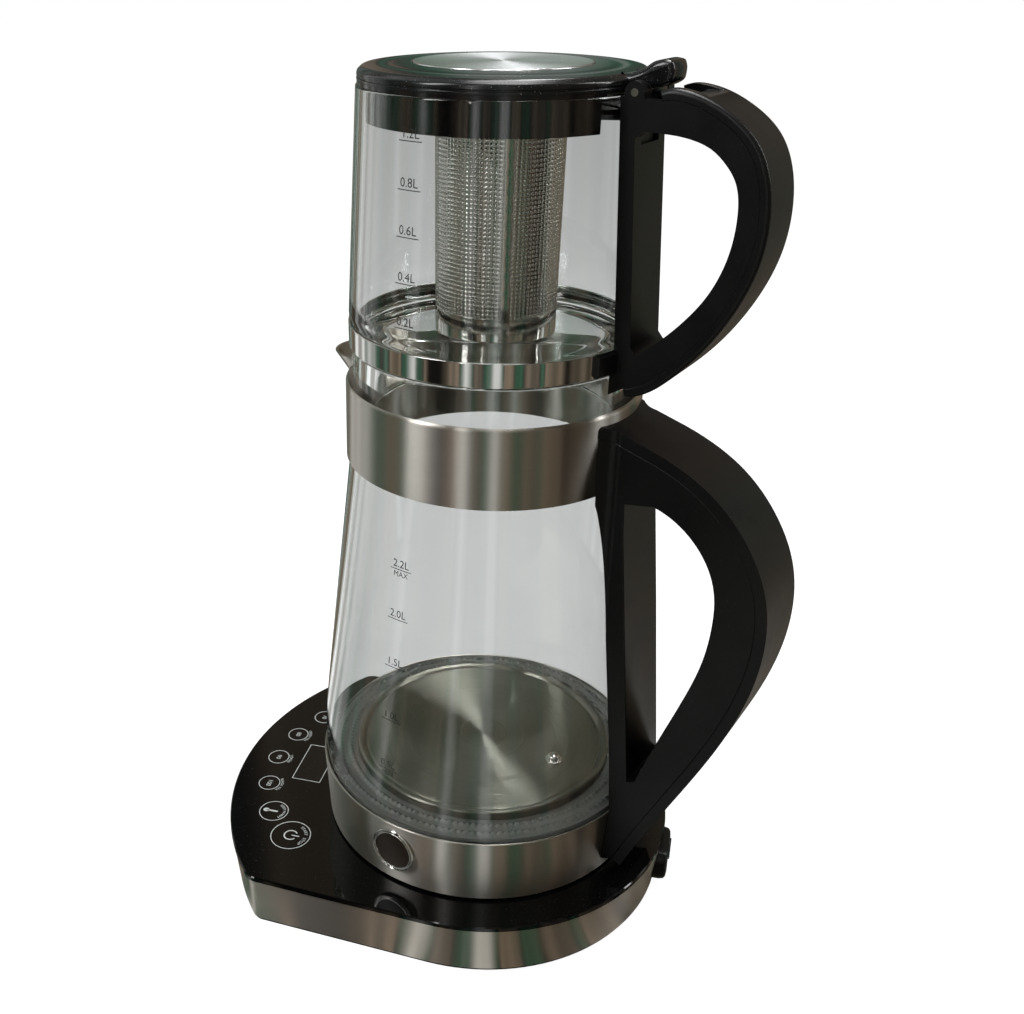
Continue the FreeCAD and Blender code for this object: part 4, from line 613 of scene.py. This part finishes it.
outer_height = np.concatenate([[COLLAR_FOOT, 200.9], np.linspace(201.4, 235.2, 48), [235.9, 236.5, 236.9]])
outer_radius = 67.5 - 0.4 * (outer_height - COLLAR_FOOT) / COLLAR_RISE
outer_radius[[0, -1, -2]] -= [0.3, 0.7, 0.25]
inner_height = np.concatenate([[237.1, 236.9, 236.3], np.linspace(235.6, 226.9, 20), [226.5]])
inner_radius = np.full(len(inner_height), 65.7)
inner_radius[[0, 1]] += [0.5, 0.15]
outer_wall = lipped(outer_radius[None], outer_height[None], 0.0)
inner_lip = lipped(inner_radius[None], inner_height[None], 1.5)
closing = np.clip((inner_height[None] - 227.1) / 1.2, 0, 1)
inner_wall = inner_radius[None] + (inner_lip - inner_radius[None]) * closing
ledge = np.array([(65.7, 224.5), (58.0, 224.5), (58.0, 222.9), (66.1, 222.9), (66.1, COLLAR_FOOT)])
ledge_wall = np.broadcast_to(ledge[None, :, 0], (480, 5))
collar_radius = np.concatenate([outer_wall, inner_wall, ledge_wall], 1)
collar_height = np.concatenate([outer_height, inner_height, ledge[:, 1]])[None] + KETTLE
collar = grid_piece("collar_hoop", np.stack([
    collar_radius * np.cos(collar_angle), collar_radius * np.sin(collar_angle),
    np.broadcast_to(collar_height, collar_radius.shape)], -1), wrap_rows=True, wrap_columns=True)
dress(collar, "kettle", collar_steel, ["kettle_collar"])

# Kettle handle: a hollow loop of satin black plastic in two mouldings, screwed to the collar and ring.
dress(eased("kettle_handle", "kettle_handle_loop", 1.6), "kettle", satin_black, ["kettle_handle"])
dress(eased("kettle_handle_cover", "kettle_handle_strip", 0.5), "kettle", satin_black,
      ["kettle_handle_cover"])

# Teapot glass: a pressed thick foot, a waist for the strap and a thin wall, all one piece of clear glass.
# TEAPOT is the height of the ledge that it stands on.
TEAPOT = 258.5
TEAPOT_MARKS = math.radians(-94)
TEAPOT_LEAN = 0.053
pot = lathe("teapot_glass_wall", rounded([
    (53.9, 0), (63.9, 0), (63.9, 28), (64.3, 29.3), (64.3, 39.6), (65.0, 43), (60.0, 137.5), (57.4, 137.5), (62.3, 45),
    (58.9, 33), (0, 33), (0, 27), (51.9, 27)],
    [2.5, 4, 1.5, 0.5, 1, 3, 1.1, 1.1, 6, 4, 0, 0, 3], 8), TEAPOT, 288)
dress(pot, "teapot", glass, ["teapot_glass"])
for text, z, radius in (("1.2L", 380.2, 60.8), ("0.8L", 362.2, 61.8), ("0.6L", 344.2, 62.75), ("0.4L", 326.0, 63.7),
                        ("0.2L", 308.0, 64.65)):
    label = text.replace(".", "_")
    glass_words("teapot_mark_" + label, text, 3.6, radius, z + 2.6, TEAPOT_MARKS, TEAPOT_LEAN, "teapot")
    glass_line("teapot_line_" + label, 11.0, radius + 0.15, z, TEAPOT_MARKS, TEAPOT_LEAN, "teapot")

# Strap: a polished steel hoop in the waist, clamped by a black bracket under the handle.
strap = lathe("strap_hoop", rounded([(64.35, 29.15), (65.25, 29.15), (65.25, 39.45), (64.35, 39.45)], 0.3, 5), TEAPOT)
dress(strap, "teapot", polished, ["teapot_strap"])
coat_node("strap_bracket", satin_black)
coat_node("rim_hook", polished)
coat_node("hinge_pin", polished)

# Teapot handle: a smaller loop of the same plastic, with two ears at the top for the hinge pin.
dress(eased("teapot_handle", "teapot_handle_loop", 1.2), "teapot", satin_black, ["teapot_handle"])
dress(eased("teapot_handle_cover", "teapot_handle_strip", 0.4), "teapot", satin_black,
      ["teapot_handle_cover"])
dress(eased("teapot_saddle", "teapot_handle_saddle", 0.6), "teapot", satin_black, ["teapot_saddle"])

# Strainer holder: a black disc that hangs in the glass rim, with windows and a hub for the strainer.
holder_black = finish("holder_plastic", (0.006, 0.005, 0.005), (0.10, 0.18), grain=(800.0, 0.0), cloud=30.0)
dress(eased("strainer_holder", "strainer_holder_disc", 0.3), "teapot", holder_black,
      ["strainer_holder"])

# Strainer: thin polished steel, perforated all over between a plain foot and a plain top, with a lapped
# seam, a pressed floor and a turned rim.
strainer_steel = finish("strainer_steel", (0.62, 0.60, 0.57), (0.06, 0.12), 1.0, (120.0, 0.000002), 30.0,
                        stretch=(1, 1, 0.3), shade=0.05)


def pierced_tube(name, low, high, low_radius, high_radius, columns, rows, share):
    """A thin tube with a round hole in each cell of a grid. A cell is eight points round its square edge
    and eight round its hole, joined by a ring of faces. Every point is (turn, height), rolled into the
    tube, whose radius runs evenly from foot to top."""
    turn = np.array([0, 1, 1, 1, 0, -1, -1, -1]) * 0.5
    rise = np.array([-1, -1, 0, 1, 1, 1, 0, -1]) * 0.5
    angle = np.arctan2(rise, turn)
    pitch_u = 2 * np.pi * high_radius / columns
    pitch_v = (high - low) / rows
    hole = share * min(pitch_u, pitch_v)
    shape_u = np.stack([turn, hole * np.cos(angle) / pitch_u])
    shape_v = np.stack([rise, hole * np.sin(angle) / pitch_v])
    column = np.arange(columns)[:, None, None, None]
    row = np.arange(rows)[None, :, None, None]
    u = (column + 0.5 + shape_u[None, None]) / columns * 2 * np.pi + 0 * row
    v = (row + 0.5 + shape_v[None, None]) / rows + 0 * column
    radius = low_radius + (high_radius - low_radius) * v
    points = np.stack([radius * np.cos(u), radius * np.sin(u), low + (high - low) * v], -1)
    start = np.arange(columns * rows)[:, None] * 16
    step = np.arange(8)[None]
    quads = np.stack([start + step, start + (step + 1) % 8, start + 8 + (step + 1) % 8, start + 8 + step], -1)
    mesh = bpy.data.meshes.new(name)
    mesh.from_pydata((points.reshape(-1, 3) * 0.001).tolist(), [], quads.reshape(-1, 4).tolist())
    return tidy_mesh(name, mesh, 60)


mesh_tube = pierced_tube("strainer_mesh", TEAPOT + 46, TEAPOT + 126, 26.75, 27.4, 88, 44, 0.15)
walls = mesh_tube.modifiers.new("wall", "SOLIDIFY")
walls.thickness = 0.0004
walls.offset = -1
dress(mesh_tube, "strainer", strainer_steel, ["strainer_wall"])
foot_cup = lathe("strainer_cup", rounded([(0, 34), (26.5, 34), (26.78, 46.2), (26.3, 46.2), (26.0, 34.7), (0, 34.7)],
                                         [0, 1.2, 0.1, 0.1, 1.0, 0], 5), TEAPOT)
dress(foot_cup, "strainer", strainer_steel, ["strainer_floor"])
neck = lathe("strainer_neck", rounded([
    (26.7, 125.8), (27.4, 125.8), (27.5, 133), (32.5, 133), (32.5, 134.2), (26.8, 134.2)],
    [0.1, 0.1, 0.3, 0.5, 0.5, 0.6], 5), TEAPOT)
dress(neck, "strainer", strainer_steel, ["strainer_rim"])
seam_across = np.linspace(-1, 1, 7)[:, None]
seam_angle = math.radians(-52) + seam_across * 0.075
seam_height = np.linspace(TEAPOT + 36, TEAPOT + 130, 40)[None]
seam_rise = 0.35 + 0.12 * np.sin(seam_height * 0.9) * (np.abs(seam_across) > 0.6)
seam_radius = 26.7 + (seam_height - TEAPOT - 35) * 0.0082 + seam_rise
seam_points = np.stack([seam_radius * np.cos(seam_angle), seam_radius * np.sin(seam_angle),
                        np.broadcast_to(seam_height, seam_radius.shape)], -1)
seam = grid_piece("strainer_seam", seam_points)
seam_wall = seam.modifiers.new("wall", "SOLIDIFY")
seam_wall.thickness = 0.0003
dress(seam, "strainer", strainer_steel)

# Lid: a shallow black dome with a broad soft groove, over a liner with a soft seal, and a steel disc in
# the middle. A knuckle and a thumb lever are moulded on behind. LID is the height of the hinge pin.
LID = 397.5
HINGE_REACH = 64.5
lid_black = finish("lid_plastic", (0.006, 0.0065, 0.0075), (0.16, 0.24), grain=(1200.0, 0.00001), cloud=30.0, dust=0.3)
dome = lathe("lid_dome", rounded([
    (0, 3.4), (55.5, 2.8), (57.3, 2.4), (57.3, 0), (59.5, 0), (59.5, 1.2), (58.9, 1.3), (58.9, 1.9), (59.5, 2.0),
    (59.3, 3.6), (57.2, 5.5), (51.0, 6.1), (47.5, 5.75), (44.0, 6.2), (37.0, 6.6), (37.0, 5.4), (0, 5.4)],
    [0, 0.5, 0.5, 0.3, 0.3, 0.25, 0.1, 0.1, 0.3, 1.6, 2.4, 2.0, 2.0, 2.0, 0.4, 0.2, 0], 7), LID, 288)
dress(dome, "lid", lid_black, ["lid_shell"])
disc_steel = finish("disc_steel", (0.82, 0.83, 0.85), (0.24, 0.32), 1.0, (30.0, 0.000005), 20.0, dust=0.15,
                    anisotropy=0.75)
disc = lathe("lid_disc_plate", rounded([(0, 5.4), (36.7, 5.4), (36.7, 6.9), (34.5, 7.0), (0, 7.0)],
                                       [0, 0.2, 0.7, 0.8, 0], 6), LID, 192)
dress(disc, "lid", disc_steel, ["lid_disc"])
coat_node("lid_liner", holder_black)
coat_node("lid_seal", silicone)


def slab(name, outline, half_width, radius):
    """A side outline in X and Z given a width along Y, with its long edges rounded. Each row of points is the
    outline moved in by the radius less the radius times the cosine, as the width grows with the sine. Both
    sides are closed by a flat face."""
    outline = np.asarray(outline, float)
    along = np.roll(outline, -1, 0) - np.roll(outline, 1, 0)
    inward = np.stack([-along[:, 1], along[:, 0]], 1) / np.linalg.norm(along, axis=1)[:, None]
    bend = np.linspace(0, np.pi / 2, 5)
    inset = radius * (1 - np.cos(bend))
    reach = half_width - radius + radius * np.sin(bend)
    inset = np.concatenate([inset[::-1], inset])
    reach = np.concatenate([-reach[::-1], reach])
    flat = outline[None] + inward[None] * inset[:, None, None]
    points = np.stack([flat[..., 0], np.broadcast_to(reach[:, None], flat.shape[:2]), flat[..., 1]], -1) * 0.001
    count = len(outline)
    down = np.arange(len(inset) - 1)[:, None]
    across = np.arange(count)[None]
    quads = np.stack([down * count + across, down * count + (across + 1) % count,
                      (down + 1) * count + (across + 1) % count, (down + 1) * count + across], -1).reshape(-1, 4)
    last = (len(inset) - 1) * count
    mesh = bpy.data.meshes.new(name)
    mesh.from_pydata(points.reshape(-1, 3).tolist(), [],
                     quads.tolist() + [list(range(count)), list(range(last, last + count))])
    return tidy_mesh(name, mesh, 40)


LEVER_HALF_WIDTH = 7.5
lever_line = rounded([(57.5, 1.0), (64.5, -1.0), (68.5, 1.2), (72.5, 1.6), (76.0, 3.6), (76.4, 8.0), (75.4, 10.9),
                      (71.6, 11.4), (67.6, 10.4), (63.8, 7.6), (58.1, 5.6), (54.0, 5.6)],
                     [0.5, 1.5, 1.5, 2.5, 2.5, 2.5, 2.0, 1.5, 1.5, 2.0, 2.0, 0.5], 5) + np.array([[0, LID]])
dress(slab("lid_lever", lever_line, LEVER_HALF_WIDTH, 2.2), "lid", lid_black, ["lid_shell"])
knuckle_angle = np.linspace(0, 2 * np.pi, 64, endpoint=False)
knuckle_line = np.stack([HINGE_REACH + 4.0 * np.cos(knuckle_angle), LID + 4.0 * np.sin(knuckle_angle)], 1)
dress(slab("lid_knuckle", knuckle_line, LEVER_HALF_WIDTH, 0.5), "lid", lid_black)

# Table, light and camera: a table that looks white, soft lamps on the left, behind and above, and a white
# surround. Metal sees upright soft bands of a darker room instead, in grey, brown and green. The camera's
# place and direction are those of the photograph.
def room_bands():
    """The room as metal sees it: a noise read along the level direction from the middle, so that it gives
    upright bands, turned into dark, brown, green, grey and bright tones."""
    group = bpy.data.node_groups.new("room_bands", "ShaderNodeTree")
    group.interface.new_socket("Vector", in_out="INPUT", socket_type="NodeSocketVector")
    group.interface.new_socket("Color", in_out="OUTPUT", socket_type="NodeSocketColor")
    given = group.nodes.new("NodeGroupInput")
    result = group.nodes.new("NodeGroupOutput")
    level = group.nodes.new("ShaderNodeVectorMath")
    level.operation = "MULTIPLY"
    level.inputs[1].default_value = (1, 1, 0)
    link(group, given.outputs["Vector"], level.inputs[0])
    unit = group.nodes.new("ShaderNodeVectorMath")
    unit.operation = "NORMALIZE"
    link(group, level.outputs["Vector"], unit.inputs[0])
    noise = group.nodes.new("ShaderNodeTexNoise")
    noise.inputs["Scale"].default_value = 2.3
    noise.inputs["Detail"].default_value = 2.5
    link(group, unit.outputs["Vector"], noise.inputs["Vector"])
    ramp = group.nodes.new("ShaderNodeValToRGB")
    stops = ((0.36, (0.010, 0.009, 0.008)), (0.43, (0.16, 0.13, 0.095)), (0.47, (0.34, 0.27, 0.20)),
             (0.495, (0.05, 0.048, 0.045)), (0.52, (0.05, 0.14, 0.085)), (0.55, (0.40, 0.42, 0.40)),
             (0.60, (1.25, 1.27, 1.25)), (0.66, (0.42, 0.41, 0.39)))
    for number, (position, colour) in enumerate(stops):
        stop = ramp.color_ramp.elements[number] if number < 2 else ramp.color_ramp.elements.new(position)
        stop.position = position
        stop.color = (*colour, 1)
    link(group, noise.outputs["Fac"], ramp.inputs["Fac"])
    link(group, ramp.outputs["Color"], result.inputs["Color"])
    return group


ROOM = room_bands()
floor_mesh = bpy.data.meshes.new("table")
floor_mesh.from_pydata([(-6, -6, 0), (6, -6, 0), (6, 6, 0), (-6, 6, 0)], [], [(0, 1, 2, 3)])
floor = bpy.data.objects.new("table", floor_mesh)
bpy.context.scene.collection.objects.link(floor)
table = bpy.data.materials.new("table_white")
table.use_nodes = True
tree = table.node_tree
tree.nodes["Principled BSDF"].inputs["Base Color"].default_value = (0.30, 0.30, 0.30, 1)
tree.nodes["Principled BSDF"].inputs["Roughness"].default_value = 0.9
tree.nodes["Principled BSDF"].inputs["Specular IOR Level"].default_value = 0.0
glow = tree.nodes.new("ShaderNodeEmission")
seen = tree.nodes.new("ShaderNodeLightPath")
behind = tree.nodes.new("ShaderNodeMath")
behind.operation = "MULTIPLY"
behind.inputs[1].default_value = 0.36
link(tree, seen.outputs["Is Transmission Ray"], behind.inputs[0])
strength = tree.nodes.new("ShaderNodeMath")
strength.operation = "MULTIPLY_ADD"
strength.inputs[1].default_value = 0.92
link(tree, seen.outputs["Is Camera Ray"], strength.inputs[0])
link(tree, behind.outputs["Value"], strength.inputs[2])
link(tree, strength.outputs["Value"], glow.inputs["Strength"])
both = tree.nodes.new("ShaderNodeAddShader")
link(tree, tree.nodes["Principled BSDF"].outputs["BSDF"], both.inputs[0])
link(tree, glow.outputs["Emission"], both.inputs[1])
floor_place = tree.nodes.new("ShaderNodeTexCoord")
floor_bands = tree.nodes.new("ShaderNodeGroup")
floor_bands.node_tree = ROOM
link(tree, floor_place.outputs["Object"], floor_bands.inputs["Vector"])
mirrored = tree.nodes.new("ShaderNodeEmission")
mirrored.inputs["Strength"].default_value = 0.95
link(tree, floor_bands.outputs["Color"], mirrored.inputs["Color"])
table_shader = tree.nodes.new("ShaderNodeMixShader")
reflected = tree.nodes.new("ShaderNodeMath")
reflected.operation = "MINIMUM"
reflected.inputs[1].default_value = 1.0
link(tree, seen.outputs["Glossy Depth"], reflected.inputs[0])
link(tree, reflected.outputs["Value"], table_shader.inputs["Fac"])
link(tree, both.outputs["Shader"], table_shader.inputs[1])
link(tree, mirrored.outputs["Emission"], table_shader.inputs[2])
link(tree, table_shader.outputs["Shader"], tree.nodes["Material Output"].inputs["Surface"])
floor_mesh.materials.append(table)


def soft_light(name, place, target, size, power):
    """A rectangular lamp that points from its place to its target. Places are in metres, power in watts."""
    lamp = bpy.data.lights.new(name, "AREA")
    lamp.shape = "RECTANGLE"
    lamp.size, lamp.size_y = size
    lamp.energy = power
    holder = bpy.data.objects.new(name, lamp)
    holder.location = place
    holder.rotation_euler = (Vector(target) - Vector(place)).to_track_quat("-Z", "Y").to_euler()
    bpy.context.scene.collection.objects.link(holder)


soft_light("key_light", (-0.6, -1.1, 1.2), (0, 0, 0.2), (0.30, 1.1), 10)
soft_light("back_light", (1.1, 0.6, 1.1), (0, 0, 0.25), (0.14, 1.1), 6)
soft_light("rear_light", (-0.25, 0.8, 1.7), (0, 0, 0.1), (0.2, 0.6), 6)
soft_light("strip_light", (0.15, -1.3, 0.9), (0, 0, 0.2), (0.05, 1.2), 1.5)
soft_light("top_light", (0.0, 0.1, 1.5), (0, 0, 0.3), (0.5, 0.5), 6)

world = bpy.data.worlds.new("surround")
bpy.context.scene.world = world
world.use_nodes = True
sky = world.node_tree
sky.nodes.clear()
result = sky.nodes.new("ShaderNodeOutputWorld")
seen = sky.nodes.new("ShaderNodeLightPath")
direction = sky.nodes.new("ShaderNodeTexCoord")
bands = sky.nodes.new("ShaderNodeGroup")
bands.node_tree = ROOM
link(sky, direction.outputs["Generated"], bands.inputs["Vector"])


def chosen(test, otherwise, then):
    """A colour that is one value for rays of one kind and another for the rest. Glossy Depth counts the
    mirrorings on the ray's way, so that metal behind glass still sees the room."""
    mix = sky.nodes.new("ShaderNodeMix")
    mix.data_type = "RGBA"
    mix.clamp_factor = True
    link(sky, seen.outputs[test], mix.inputs["Factor"])
    for label, source in (("A", otherwise), ("B", then)):
        if isinstance(source, tuple):
            mix.inputs[label].default_value = (*source, 1)
        else:
            link(sky, source, mix.inputs[label])
    return mix.outputs["Result"]


shown = chosen("Is Transmission Ray", (0.30, 0.30, 0.30), (0.55, 0.55, 0.56))
shown = chosen("Glossy Depth", shown, bands.outputs["Color"])
shown = chosen("Is Camera Ray", shown, (1.0, 1.0, 1.0))
light = sky.nodes.new("ShaderNodeBackground")
link(sky, shown, light.inputs["Color"])
link(sky, light.outputs["Background"], result.inputs["Surface"])

CAMERA_PLACE = (0.2565, -0.4443, 0.4498)
LOOK = Vector((-0.4992, 0.7426, -0.4465))
eye = bpy.data.cameras.new("camera")
eye.sensor_width = 36.0
eye.lens = 41.65
eye.shift_x = 0.0932
eye.shift_y = 0.0183
camera = bpy.data.objects.new("camera", eye)
camera.location = CAMERA_PLACE
camera.rotation_euler = LOOK.to_track_quat("-Z", "Y").to_euler()
bpy.context.scene.collection.objects.link(camera)
bpy.context.scene.camera = camera
